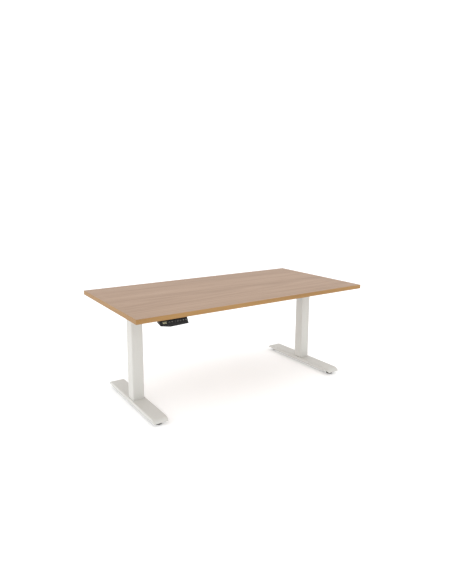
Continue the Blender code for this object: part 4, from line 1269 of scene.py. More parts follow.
@dataclass
class Columns:
    """Three-stage square columns with plastic guide collars, and what is inside them."""

    places: Places
    corner: float = 0.006
    steps: int = 8
    wall: float = 0.0015
    floor: float = 0.006
    stage_floor: float = 0.004
    bolt_bore: float = 0.0044
    carrier_radius: float = 0.0225
    carrier_bore: float = 0.0195
    carrier_top: float = 0.446
    carrier_flange: float = 0.006
    spindle_bore: float = 0.0116
    top_bore: float = 0.008
    collar_rim: float = 0.0025
    collar_skirt: float = 0.0007
    collar_edge: float = 0.0004

    def build(self) -> None:
        """Model the left column, copy it for the right and dress the frame's inner parts."""
        for kind, body, finish, work in (
            ("outer_tube", "base", WHITE_COAT, self.outer()),
            ("middle_tube", "middle_", WHITE_COAT, self.middle()),
            ("inner_tube", "lift", WHITE_COAT, self.inner()),
            ("outer_collar", "base", GUIDE, self.collar("outer_collar_left")),
            ("middle_collar", "middle_", GUIDE, self.collar("middle_collar_left")),
        ):
            pair(work, f"column_{kind}", finish, body, kind)
        for side in Side:
            keep(f"spindle_sleeve_{side.label}", ZINC)
            keep(f"lower_nut_{side.label}", BRASS)
            keep(f"lower_spindle_{side.label}", ZINC)
            keep(f"upper_spindle_{side.label}", ZINC)

    def tube(self, name: str, low: Vector, high: Vector, wall: float) -> Work:
        """Model a square tube with round corners, its wall inwards from its two corners."""
        work = Work.block(name, low, high).open(lambda _, normal: abs(normal.z) > MOSTLY)
        return work.uprights().bevel(self.corner, self.steps).thicken(wall)

    def plate(self, low: Vector, high: Vector, bottom: float, top: float) -> Work:
        """A plate that fills a tube's bore.

        Args:
            low: The tube's lowest corner.
            high: The tube's highest corner.
            bottom: The plate's lower face.
            top: The plate's upper face.

        Returns:
            The work on it.
        """
        edge = Vector((self.wall * 0.8, self.wall * 0.8, 0.0))
        first, last = low + edge, high - edge
        work = Work.block("plate", (first.x, first.y, bottom), (last.x, last.y, top))
        return work.uprights().bevel(self.corner - self.wall, 4)

    def outer(self) -> Work:
        """The fixed outer tube on its drilled floor plate.

        Returns:
            The work on it.
        """
        low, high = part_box("outer_tube_left")
        holes = self.places.bolts(Side.LEFT, low.z)
        plate = self.plate(low, high, low.z, low.z + self.floor)
        plate.bore(holes, (0, 0, 1), self.bolt_bore, 4 * self.floor, COARSE)
        return self.tube("outer", low, high, self.wall).join(plate)

    def middle(self) -> Work:
        """The middle tube, its floor and the carrier tube that stands on it.

        Returns:
            The work on it.
        """
        low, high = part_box("middle_tube_left")
        up, long = (0, 0, 1), 4 * self.floor
        foot = self.places.axis(Side.LEFT, low.z)
        plate = self.plate(low, high, low.z, low.z + self.stage_floor)
        plate.bore([foot], up, self.carrier_bore, long, FINE)
        profile = ((self.carrier_radius, low.z), (self.carrier_radius, self.carrier_top))
        carrier = Work.turned("carrier", profile)
        carrier.placed(Matrix.Translation(self.places.axis(Side.LEFT)))
        deep = self.carrier_top - self.carrier_flange - low.z
        middle = self.places.axis(Side.LEFT, low.z + deep / 2 - self.floor)
        carrier.bore([middle], up, self.carrier_bore, deep + 2 * self.floor, FINE)
        crown = self.places.axis(Side.LEFT, self.carrier_top)
        carrier.bore([crown], up, self.spindle_bore, long, 32)
        return self.tube("middle", low, high, self.wall).join(plate, carrier)

    def inner(self) -> Work:
        """The inner tube under its closed top.

        Returns:
            The work on it.
        """
        low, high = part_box("inner_tube_left")
        axis = self.places.axis(Side.LEFT, high.z)
        plate = self.plate(low, high, high.z - self.stage_floor, high.z)
        plate.bore([axis], (0, 0, 1), self.top_bore, 4 * self.stage_floor)
        return self.tube("inner", low, high, self.wall).join(plate)

    def collar(self, node: str) -> Work:
        """A guide collar: a rim that stands on the tube and a skirt inside it.

        Args:
            node: The left collar's node.

        Returns:
            The work on it.
        """
        low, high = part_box(node)
        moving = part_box("middle_tube_left" if node.startswith("outer") else "inner_tube_left")
        play = Vector((GAP, GAP, 0.0))
        bore_low, bore_high = moving[0] - play, moving[1] + play
        corner = Vector((low.x, low.y, high.z - self.collar_rim))
        rim = self.tube("rim", corner, high, bore_low.x - low.x)
        rim.soften(self.collar_edge, 2, SHARP)
        thin = Vector((self.collar_skirt, self.collar_skirt, 0.0))
        skirt_low, skirt_high = bore_low - thin, bore_high + thin
        skirt_low.z, skirt_high.z = low.z, high.z - self.collar_rim / 2
        return rim.join(self.tube("skirt", skirt_low, skirt_high, self.collar_skirt))


# Frame under the tabletop


@dataclass
class Rails:
    """Pressed side rails, the centre rails that slide in them and the side brackets."""

    places: Places
    sheet: float = 0.002
    bead_height: float = 0.015
    bead_out: float = 0.002
    lip: float = 0.040
    edge: float = 0.0007
    hole: float = 0.004
    bolt_hole: float = 0.0034
    screw_hole: float = 0.0026
    holes: tuple[float, ...] = (0.205, 0.425, 0.460)
    joint_bolts: tuple[float, ...] = (0.250, 0.380)
    head_bolt_spread: float = 0.022
    rail_screw: float = 0.593
    screw_row: float = 0.053
    bracket_sheet: float = 0.003
    bracket_flange: float = 0.045
    bracket_tab_half: float = 0.075
    bracket_end: float = 0.009
    bracket_foot: float = 0.055
    bracket_corner: float = 0.005
    bracket_screw_x: float = 0.655
    bracket_screw_inset: float = 0.020

    def build(self) -> None:
        """Model one of each and copy it to its other places."""
        first = self.side_rail()
        for side in Side:
            for end in End:
                node = f"side_rail_{end.label}_{side.label}"
                made = first.copy(f"pressed_{node}", self.mirror(side, end))
                made.dress(WHITE_COAT, "lift", node)
        inner = self.centre_rail()
        for end in End:
            node = f"centre_rail_{end.label}"
            made = inner.copy(f"folded_{node}", self.mirror(Side.LEFT, end))
            made.dress(WHITE_COAT, "lift", node)
        for work in (first, inner):
            work.discard()
        pair(self.bracket(), "folded_side_bracket", WHITE_COAT, "lift", "side_bracket")

    def mirror(self, side: Side, end: End) -> Matrix:
        """From the front left to another place.

        Args:
            side: The end of the desk.
            end: Front or rear.

        Returns:
            The mirroring matrix.
        """
        across = MIRROR if side is Side.RIGHT else Matrix.Identity(4)
        if end is End.FRONT:
            return across
        centre = Matrix.Translation((0.0, self.places.leg_y, 0.0))
        return across @ centre @ Matrix.Scale(-1.0, 4, (0.0, 1.0, 0.0)) @ centre.inverted()

    def folded_sheet(self, name: str, path: Path, start: float, end: float) -> Work:
        """Fold a strip along the (y, z) outline of its outer face, with its thickness inwards."""
        work = Work.folded(name, path, start, end)
        return work.thicken(self.sheet, 1.0).soften(self.edge, 2, 30.0)

    def side_rail(self) -> Work:
        """The front left side rail.

        Returns:
            The work on it.
        """
        low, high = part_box("side_rail_front_left")
        out = low.y
        face = out + self.bead_out
        lip = self.places.leg_y - self.lip
        crest = low.z + self.bead_height
        path = [
            (lip, high.z),
            (face, high.z),
            (face, crest),
            (out, crest - self.bead_out),
            (out, low.z),
            (lip, low.z),
        ]
        work = self.folded_sheet("side_rail", path, low.x, high.x)
        middle = self.middle_height()
        level = self.joint_height()
        spots = [(-x, out, low.z + self.bead_height / 2) for x in self.holes]
        work.bore(spots, (0, 1, 0), self.hole)
        spread = self.head_bolt_spread
        spots = [(-self.places.leg_x + x, face, middle) for x in (-spread, spread)]
        spots += [(-x, face, level) for x in self.joint_bolts]
        work.bore(spots, (0, 1, 0), self.bolt_hole)
        spot = (-self.rail_screw, self.places.leg_y - self.screw_row, high.z)
        return work.bore([spot], (0, 0, 1), self.screw_hole)

    @staticmethod
    def middle_height() -> float:
        """Height of the bolts into the gear heads."""
        return centre("gear_head_left").z

    @staticmethod
    def joint_height() -> float:
        """Height of the bolts that join side and centre rails."""
        return centre("centre_rail_front").z

    def centre_rail(self) -> Work:
        """The front centre rail.

        Returns:
            The work on it.
        """
        low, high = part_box("centre_rail_front")
        lip = self.places.leg_y - self.lip
        path = [(lip, high.z), (low.y, high.z), (low.y, low.z), (lip, low.z)]
        work = self.folded_sheet("centre_rail", path, low.x, high.x)
        spots = [(way * x, low.y, self.joint_height()) for x in self.joint_bolts for way in (-1, 1)]
        return work.bore(spots, (0, 1, 0), self.bolt_hole)

    def bracket(self) -> Work:
        """The left side bracket: a trapezium plate folded into a flange with a tab.

        Returns:
            The work on it.
        """
        low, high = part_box("side_bracket_left")
        axis = self.places.leg_y
        work = Work.block("bracket", low, (low.x + self.bracket_sheet, high.y, high.z))
        work.split((low.x, axis, high.z - self.bracket_end), (0.0, 0.0, 1.0))
        for end, start in ((End.FRONT, low.y), (End.REAR, high.y)):
            work.pick(Element.VERT, lambda at, _: near(at.z, low.z) and near(at.y, start))
            work.move((0.0, axis + end.value * self.bracket_foot - start, 0.0))
        work.pick(Element.EDGE, lambda at, way: near(at.z, low.z) and abs(way.x) > MOSTLY)
        work.bevel(self.bracket_corner, 5)
        flange_low = (low.x + self.bracket_sheet / 2, low.y, high.z - self.bracket_sheet)
        flange = Work.block("flange", flange_low, (low.x + self.bracket_flange, high.y, high.z))
        half = self.bracket_tab_half
        tab_low = (low.x + self.bracket_flange / 2, axis - half, high.z - self.bracket_sheet)
        tab = Work.block("tab", tab_low, (high.x, axis + half, high.z))
        tab.pick(Element.EDGE, lambda at, way: near(at.x, high.x) and abs(way.z) > MOSTLY)
        tab.bevel(self.bracket_corner, 4)
        work.cut(flange, tab, how="UNION")
        work.edit(bpy.ops.mesh.dissolve_limited, True, angle_limit=FLAT_ANGLE)
        work.pick(
            Element.EDGE,
            lambda at, way: near(at.x, low.x) and near(at.z, high.z) and abs(way.y) > MOSTLY,
        )
        work.bevel(self.bracket_sheet * 0.9, 4)
        work.soften(self.edge, 2, SHARP)
        outer, inner = -self.bracket_screw_x, -self.rail_screw
        spots = [
            (outer, low.y + self.bracket_screw_inset, high.z),
            (outer, high.y - self.bracket_screw_inset, high.z),
            (inner, axis - self.screw_row, high.z),
            (inner, axis + self.screw_row, high.z),
        ]
        return work.bore(spots, (0, 0, 1), self.screw_hole)


@dataclass
class Drives:
    """Gear heads and the motors on their inner ends."""

    places: Places
    flange: float = 0.0208
    neck: float = 0.0192
    cap: float = 0.0195
    length: float = 0.105
    shaft: float = 0.004
    shaft_length: float = 0.012
    relief_length: float = 0.014
    ribs: int = 5
    edge: float = 0.0009

    def build(self) -> None:
        """Model the left drive and copy it for the right."""
        for side in Side:
            node = f"gear_head_{side.label}"
            case = Work.taken(f"cast_{node}", node).soften(self.edge, 2, SHARP)
            case.dress(ALLOY, "lift", node)
        pair(self.motor(), "motor_can", MOTOR_CAN, "lift", "motor")
        pair(self.relief(), "motor_relief", RUBBER, "lift")

    def along(self) -> Matrix:
        """From the turning axis to the left motor's axis, pointing to the desk's middle."""
        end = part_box("motor_left")[1].x
        place = Vector((end - self.length, self.places.leg_y, centre("motor_left").z))
        return Matrix.Translation(place) @ Matrix.Rotation(pi / 2, 4, "Y")

    def motor(self) -> Work:
        """Turn the left motor: shaft, flange, rolled can and end cap with two screws.

        Returns:
            The work on it.
        """
        wide, length = self.flange, self.length
        profile = (
            (self.shaft, -self.shaft_length),
            (self.shaft, 0.0),
            (wide - 0.0008, 0.0),
            (wide, 0.0008),
            (wide, 0.0042),
            (self.neck, 0.0050),
            (self.neck, 0.0066),
            (wide, 0.0074),
            (wide, 0.0180),
            (wide - 0.0006, 0.0188),
            (wide - 0.0006, 0.0202),
            (wide, 0.0210),
            (wide, length - 0.0220),
            (wide - 0.0006, length - 0.0212),
            (wide - 0.0006, length - 0.0198),
            (wide, length - 0.0190),
            (wide, length - 0.0128),
            (self.cap, length - 0.0120),
            (self.cap, length - 0.0024),
            (self.cap - 0.0020, length - 0.0008),
            (self.cap - 0.0060, length - 0.0008),
            (self.cap - 0.0066, length - 0.0016),
            (0.0085, length - 0.0016),
            (0.0080, length - 0.0002),
        )
        work = Work.turned("motor", profile, 64)
        reach = self.cap - 0.0045
        for way in (-1, 1):
            head = ((0.0021, 0.0), (0.0021, 0.0005), (0.0017, 0.0007))
            place = Matrix.Translation((0.0, way * reach, length - 0.0009))
            work.join(Work.turned("screw", head, COARSE).placed(place))
        return work.placed(self.along())

    def relief(self) -> Work:
        """The ribbed strain relief on the left motor's lead.

        Returns:
            The work on it.
        """
        profile = [(0.0062, 0.0), (0.0062, 0.0016)]
        for index in range(self.ribs):
            wide = 0.0052 - 0.0012 * index / self.ribs
            level = 0.0020 + index * (self.relief_length - 0.0030) / self.ribs
            profile += [(wide, level), (wide, level + 0.0014), (wide - 0.0007, level + 0.0016)]
        profile.append((0.0035, self.relief_length))
        work = Work.turned("relief", profile, 28)
        work.placed(Matrix.Translation((0, 0, self.length + GAP)))
        return work.placed(self.along())


# Control box, clips and leads


@dataclass
class ControlBox:
    """The control box, its plugs and the circuit board inside it."""

    places: Places
    grille_slots: int = 13
    grille_pitch: float = 0.009
    slot_width: float = 0.0026
    slot_length: float = 0.040
    slot_depth: float = 0.0009
    plug_length: float = 0.013
    plug_width: float = 0.0120
    plug_height: float = 0.0084
    socket_drop: float = 0.0215
    socket_shift: float = 0.021
    ear: float = 0.018
    edge: float = 0.0008

    def build(self) -> None:
        """Model the case and the three plugs, and dress the board."""
        keep("circuit_board", CIRCUIT)
        self.case().dress(HOUSING, "lift", "control_box")
        low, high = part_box("control_box")
        left, right = low.x + self.ear, high.x - self.ear
        for name, wall, way, shift in (
            ("handset_plug", left, -1, -1),
            ("motor_plug_left", left, -1, 1),
            ("motor_plug_right", right, 1, -1),
        ):
            self.plug(name, wall, way, shift).dress(HOUSING, "lift")

    def case(self) -> Work:
        """The box, softened, with a grille pressed in its underside.

        Returns:
            The work on it.
        """
        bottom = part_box("control_box")[0].z
        work = Work.taken("control_case", "control_box").soften(self.edge, 2, SHARP)
        middle = centre("control_box")
        wide, long, deep = self.slot_width / 2, self.slot_length / 2, self.slot_depth
        slots = []
        for index in range(self.grille_slots):
            x = middle.x + (index - (self.grille_slots - 1) / 2) * self.grille_pitch
            corner = (x - wide, middle.y - long, bottom - deep)
            far = (x + wide, middle.y + long, bottom + deep)
            slots.append(Work.block("slot", corner, far))
        return work.cut(slots[0].join(*slots[1:]))

    def plug(self, name: str, wall: float, way: int, shift: int) -> Work:
        """A moulded plug with its tapered relief, standing out of a socket.

        Args:
            name: The piece's name.
            wall: The box wall's x.
            way: The sign of the way out of the box.
            shift: The sign of the socket's y from the column's axis.

        Returns:
            The work on it.
        """
        y = self.places.leg_y + shift * self.socket_shift
        z = self.places.underside - self.socket_drop
        xs = sorted((wall - way * 0.0015, wall + way * self.plug_length))
        half, tall = self.plug_width / 2, self.plug_height / 2
        work = Work.block(name, (xs[0], y - half, z - tall), (xs[1], y + half, z + tall))
        work.soften(0.0014, 3)
        profile = (
            (0.0040, 0.0),
            (0.0040, 0.0020),
            (0.0034, 0.0028),
            (0.0036, 0.0050),
            (0.0030, 0.0090),
        )
        turn = Matrix.Rotation(way * pi / 2, 4, "Y")
        place = Matrix.Translation((wall + way * (self.plug_length - 0.0004), y, z))
        return work.join(Work.turned("relief", profile, 24).placed(place @ turn))


@dataclass
class Leads:
    """The three leads and what holds them; routes are from the board's middle."""

    places: Places
    handset_lead: float = 0.0050
    motor_lead: float = 0.0060
    spacing: float = 0.9
    sides: int = 4
    setback: float = -0.012
    socket_drop: float = -0.0215
    socket_shift: float = 0.021
    saddles: tuple[float, ...] = (-0.135, -0.010)
    saddle: float = 0.012
    clearance: float = 0.0064
    edge: float = 0.0009

    def build(self) -> None:
        """Model the leads along their routes, and round off the saddles and the clip."""
        for node in ("cable_saddle_left", "cable_saddle_middle", "handset_lead_clip"):
            holder = Work.taken(f"moulded_{node}", node).soften(self.edge, 2, SHARP)
            holder.dress(HOUSING, "lift", node)
        self.lead("handset_lead", self.handset_route(), self.handset_lead)
        self.lead("motor_lead_left", self.left_route(), self.motor_lead)
        self.lead("motor_lead_right", self.right_route(), self.motor_lead)

    def handset_route(self) -> list[Point]:
        """The handset lead's route: through its clip, a hanging loop, the saddles and the box.

        Returns:
            The points of the route.
        """
        x = centre("handset_shell").x
        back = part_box("handset_shell")[1].y - self.places.desk_y + GAP
        drop = -0.0095
        y, z = -0.044, -0.0460
        left, middle = self.saddles
        socket = self.setback - self.socket_shift
        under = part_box("side_rail_front_left")[0].z - self.places.underside - self.clearance
        return [
            (x, back, drop),
            (x, back + 0.020, drop),
            (x, -0.250, drop),
            (x, -0.230, drop),
            (x + 0.010, -0.190, -0.018),
            (x + 0.026, -0.140, -0.036),
            (x + 0.036, -0.112, -0.058),
            (x + 0.052, -0.104, -0.078),
            (x + 0.072, -0.104, -0.086),
            (x + 0.094, -0.106, -0.078),
            (x + 0.110, -0.106, under - 0.004),
            (x + 0.122, -0.098, under),
            (x + 0.132, -0.078, under - 0.001),
            (x + 0.142, -0.058, under - 0.001),
            (x + 0.152, -0.0465, under),
            (x + 0.166, -0.0420, -0.0550),
            (x + 0.200, y, z),
            (-0.300, y, z),
            (left - self.saddle, y, z),
            (left + self.saddle, y, z),
            (-0.072, y - 0.002, z - 0.005),
            (middle - self.saddle, y, z),
            (middle + self.saddle, y, z),
            (0.020, y + 0.002, z + 0.002),
            (0.044, socket - 0.003, self.socket_drop - 0.012),
            (0.060, socket, self.socket_drop - 0.001),
            (self.box_wall(Side.LEFT), socket, self.socket_drop),
        ]

    def left_route(self) -> list[Point]:
        """The left motor lead's route, through the same saddles.

        Returns:
            The points of the route.
        """
        start, height = self.motor_end(), self.motor_height()
        y, z = -0.016, -0.0460
        left, middle = self.saddles
        socket = self.setback + self.socket_shift
        return [
            (-start, self.setback, height),
            (-start + 0.020, self.setback, height),
            (-start + 0.070, self.setback + 0.006, height - 0.006),
            (-0.300, self.setback + 0.004, height - 0.004),
            (left - self.saddle, y, z),
            (left + self.saddle, y, z),
            (-0.096, y, z + 0.003),
            (-0.068, y + 0.003, z + 0.007),
            (-0.042, y, z + 0.003),
            (middle - self.saddle, y, z),
            (middle + self.saddle, y, z),
            (0.020, y + 0.005, z + 0.003),
            (0.042, socket - 0.006, self.socket_drop - 0.012),
            (0.060, socket, self.socket_drop - 0.001),
            (self.box_wall(Side.LEFT), socket, self.socket_drop),
        ]

    def right_route(self) -> list[Point]:
        """The right motor lead's route, with the droop between motor and box.

        Returns:
            The points of the route.
        """
        start, height = self.motor_end(), self.motor_height()
        socket = self.setback - self.socket_shift
        wall = self.box_wall(Side.RIGHT)
        return [
            (start, self.setback, height),
            (start - 0.014, self.setback - 0.001, height - 0.001),
            (start - 0.028, self.setback - 0.008, height - 0.018),
            (start - 0.042, self.setback - 0.014, height - 0.038),
            (start - 0.058, self.setback - 0.018, height - 0.045),
            (start - 0.076, socket + 0.006, height - 0.034),
            (start - 0.100, socket, self.socket_drop - 0.012),
            (wall + 0.030, socket, self.socket_drop - 0.002),
            (wall + 0.014, socket, self.socket_drop),
            (wall, socket, self.socket_drop),
        ]

    @staticmethod
    def box_wall(side: Side) -> float:
        """Inner face of the control box's wall on one side."""
        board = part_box("circuit_board")
        return board[0].x - 0.002 if side is Side.LEFT else board[1].x + 0.002

    @staticmethod
    def motor_end() -> float:
        """Where the motor leads start, from the desk's middle."""
        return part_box("motor_right")[0].x - 2 * GAP

    def motor_height(self) -> float:
        """Height of the motors' axes from the tabletop's underside."""
        return centre("motor_right").z - self.places.underside

    def smooth(self, points: Sequence[Point], spacing: float) -> list[Vector]:
        """Read points from a smooth curve through a route.

        Args:
            points: The route.
            spacing: The distance between the points that are read.

        Returns:
            The points.
        """
        stops = [Vector(point) for point in points]
        spans = [(far - start).length for start, far in zip(stops, stops[1:])]
        slopes = [(far - start) / span for start, far, span in zip(stops, stops[1:], spans)]
        ways = [slopes[0]]
        for index in range(1, len(stops) - 1):
            weight = spans[index - 1] / (spans[index - 1] + spans[index])
            ways.append(slopes[index - 1].lerp(slopes[index], weight))
        ways.append(slopes[-1])
        route = []
        for index, span in enumerate(spans):
            count = max(1, round(span / spacing))
            for step in range(count):
                t = step / count
                rest = 1.0 - t
                start = stops[index] * (1 + 2 * t) * rest**2 + ways[index] * span * t * rest**2
                far = stops[index + 1] * t**2 * (3 - 2 * t) - ways[index + 1] * span * t**2 * rest
                route.append(start + far)
        return route + [stops[-1]]

    def lead(self, node: str, points: Sequence[Point], diameter: float) -> None:
        """Model one lead as a round tube along its route.

        Args:
            node: The frame node that it stands for.
            points: Its route.
            diameter: Its diameter.
        """
        shift = Vector((0.0, self.places.desk_y, self.places.underside))
        route = [shift + point for point in self.smooth(points, self.spacing * diameter)]
        curve = bpy.data.curves.new(f"sheathed_{node}", "CURVE")
        curve.dimensions = "3D"
        curve.bevel_depth = diameter / 2
        curve.bevel_resolution = self.sides
        curve.use_fill_caps = True
        spline = curve.splines.new("POLY")
        spline.points.add(len(route) - 1)
        for point, place in zip(spline.points, route):
            point.co = (*place, 1.0)
        made = bpy.data.objects.new(f"sheathed_{node}", curve)
        bpy.context.scene.collection.objects.link(made)
        Work(made).focus()
        bpy.ops.object.convert(target="MESH")
        work = Work(bpy.context.active_object)
        work.edit(bpy.ops.mesh.remove_doubles, True, threshold=WELD)
        work.outwards().dress(SHEATH, "lift", node)
        length = sum((far - start).length for start, far in zip(route, route[1:]))
        LOG.info("%s is %.3f m long", node, length)


# Fasteners


@dataclass(frozen=True)
class Screw:
    """Sizes of a bolt or a screw: its shank's radius and length, its head's radius and height."""

    shank: float
    length: float
    radius: float
    height: float

    def turned(self, name: str, point: float, taper: float, sides: int) -> Work:
        """Turn its shank and its button head, with the head's underside at the origin.

        Args:
            name: The piece's name.
            point: Radius of the shank's tip, as a share of the shank's.
            taper: Length of the tip.
            sides: How many sides the circles have.

        Returns:
            The work on it.
        """
        steps = ((0.94, 0.0), (1.0, 0.12), (1.0, 0.34), (0.93, 0.66), (0.78, 0.90), (0.60, 1.0))
        profile = [(self.shank * point, -self.length), (self.shank, -self.length + taper)]
        profile.append((self.shank, 0.0))
        profile += [(self.radius * wide, self.height * level) for wide, level in steps]
        return Work.turned(name, profile, sides)

    def bolt(self, name: str) -> Work:
        """A button-head bolt with a hexagon socket."""
        wide = self.radius * 0.42
        hexagon = ((wide, self.height * 0.35), (wide, self.height * 1.5))
        return self.turned(name, 0.8, 0.001, 32).cut(Work.turned("socket", hexagon, 6))

    def wood_screw(self, name: str) -> Work:
        """A pan-head screw with a cross recess.

        Args:
            name: The piece's name.

        Returns:
            The work on it.
        """
        reach, half = self.radius * 0.52, self.radius * 0.09
        low, high = self.height * 0.4, self.height * 1.5
        first = Work.block("slot", (-reach, -half, low), (reach, half, high))
        second = Work.block("slot", (-half, -reach, low), (half, reach, high))
        return self.turned(name, 0.2, 0.005, 28).cut(first, second)


@dataclass
class Fasteners:
    """Bolts of the feet and the rails, and the screws into the tabletop."""

    places: Places
    foot_bolt: Screw = Screw(0.0039, 0.0120, 0.0065, 0.0050)
    frame_bolt: Screw = Screw(0.0029, 0.0118, 0.0055, 0.0030)
    screw: Screw = Screw(0.0020, 0.0170, 0.0045, 0.0020)
    foot_roof: float = 0.037
    rail_face: float = 0.066
    ear_screw: float = 0.009
    ear_thickness: float = 0.002

    def build(self) -> None:
        """Model one of each fastener and copy it to its places."""
        foot = self.foot_bolt.bolt("foot_bolt")
        frame = self.frame_bolt.bolt("frame_bolt")
        screw = self.screw.wood_screw("wood_screw")
        for side in Side:
            for index, spot in enumerate(self.places.bolts(side, self.foot_roof - GAP)):
                self.put(foot, f"foot_bolt_{side.label}_{index}", spot, (0, 0, -1), ZINC, "base")
        for index, (spot, way) in enumerate(self.frame_spots()):
            self.put(frame, f"frame_bolt_{index}", spot, way, ZINC, "lift")
        for index, spot in enumerate(self.screw_spots()):
            self.put(screw, f"wood_screw_{index}", spot, (0, 0, -1), SCREW_ZINC, "lift")
        for work in (foot, frame, screw):
            work.discard()

    def put(
        self, work: Work, name: str, spot: Point, way: Point, finish: Finish, body: str
    ) -> None:
        """Copy a fastener to a spot, with its head pointing a way."""
        work.copy(name, towards(spot, way)).dress(finish, body)

    def frame_spots(self) -> list[tuple[Vector, Point]]:
        """Where the frame bolts' heads lie on the rails, and where they point.

        Returns:
            A place and a way for each.
        """
        rails = Rails(self.places)
        columns = [
            (x * self.places.leg_x + shift, rails.middle_height())
            for x in (-1, 1)
            for shift in (-rails.head_bolt_spread, rails.head_bolt_spread)
        ]
        joints = [(way * x, rails.joint_height()) for way in (-1, 1) for x in rails.joint_bolts]
        spots = []
        for x, z in columns + joints:
            for end in End:
                y = self.places.leg_y + end.value * (self.rail_face + GAP)
                spots.append((Vector((x, y, z)), (0, end.value, 0)))
        return spots

    def screw_spots(self) -> list[Vector]:
        """Where the wood screws' heads lie.

        Returns:
            A place for each.
        """
        rails = Rails(self.places)
        low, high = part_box("side_bracket_left")
        rail_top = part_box("side_rail_front_left")[1].z - rails.sheet
        spots = []
        for side in Side:
            x = side.value * rails.bracket_screw_x
            for y in (low.y + rails.bracket_screw_inset, high.y - rails.bracket_screw_inset):
                spots.append(Vector((x, y, high.z - rails.bracket_sheet - GAP)))
            for end in End:
                y = self.places.leg_y + end.value * rails.screw_row
                spots.append(Vector((side.value * rails.rail_screw, y, rail_top - GAP)))
        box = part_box("control_box")
        ear_top = self.places.underside - self.ear_thickness - 2 * GAP
        for x in (box[0].x + self.ear_screw, box[1].x - self.ear_screw):
            spots.append(Vector((x, self.places.leg_y, ear_top)))
        return spots


# Handset


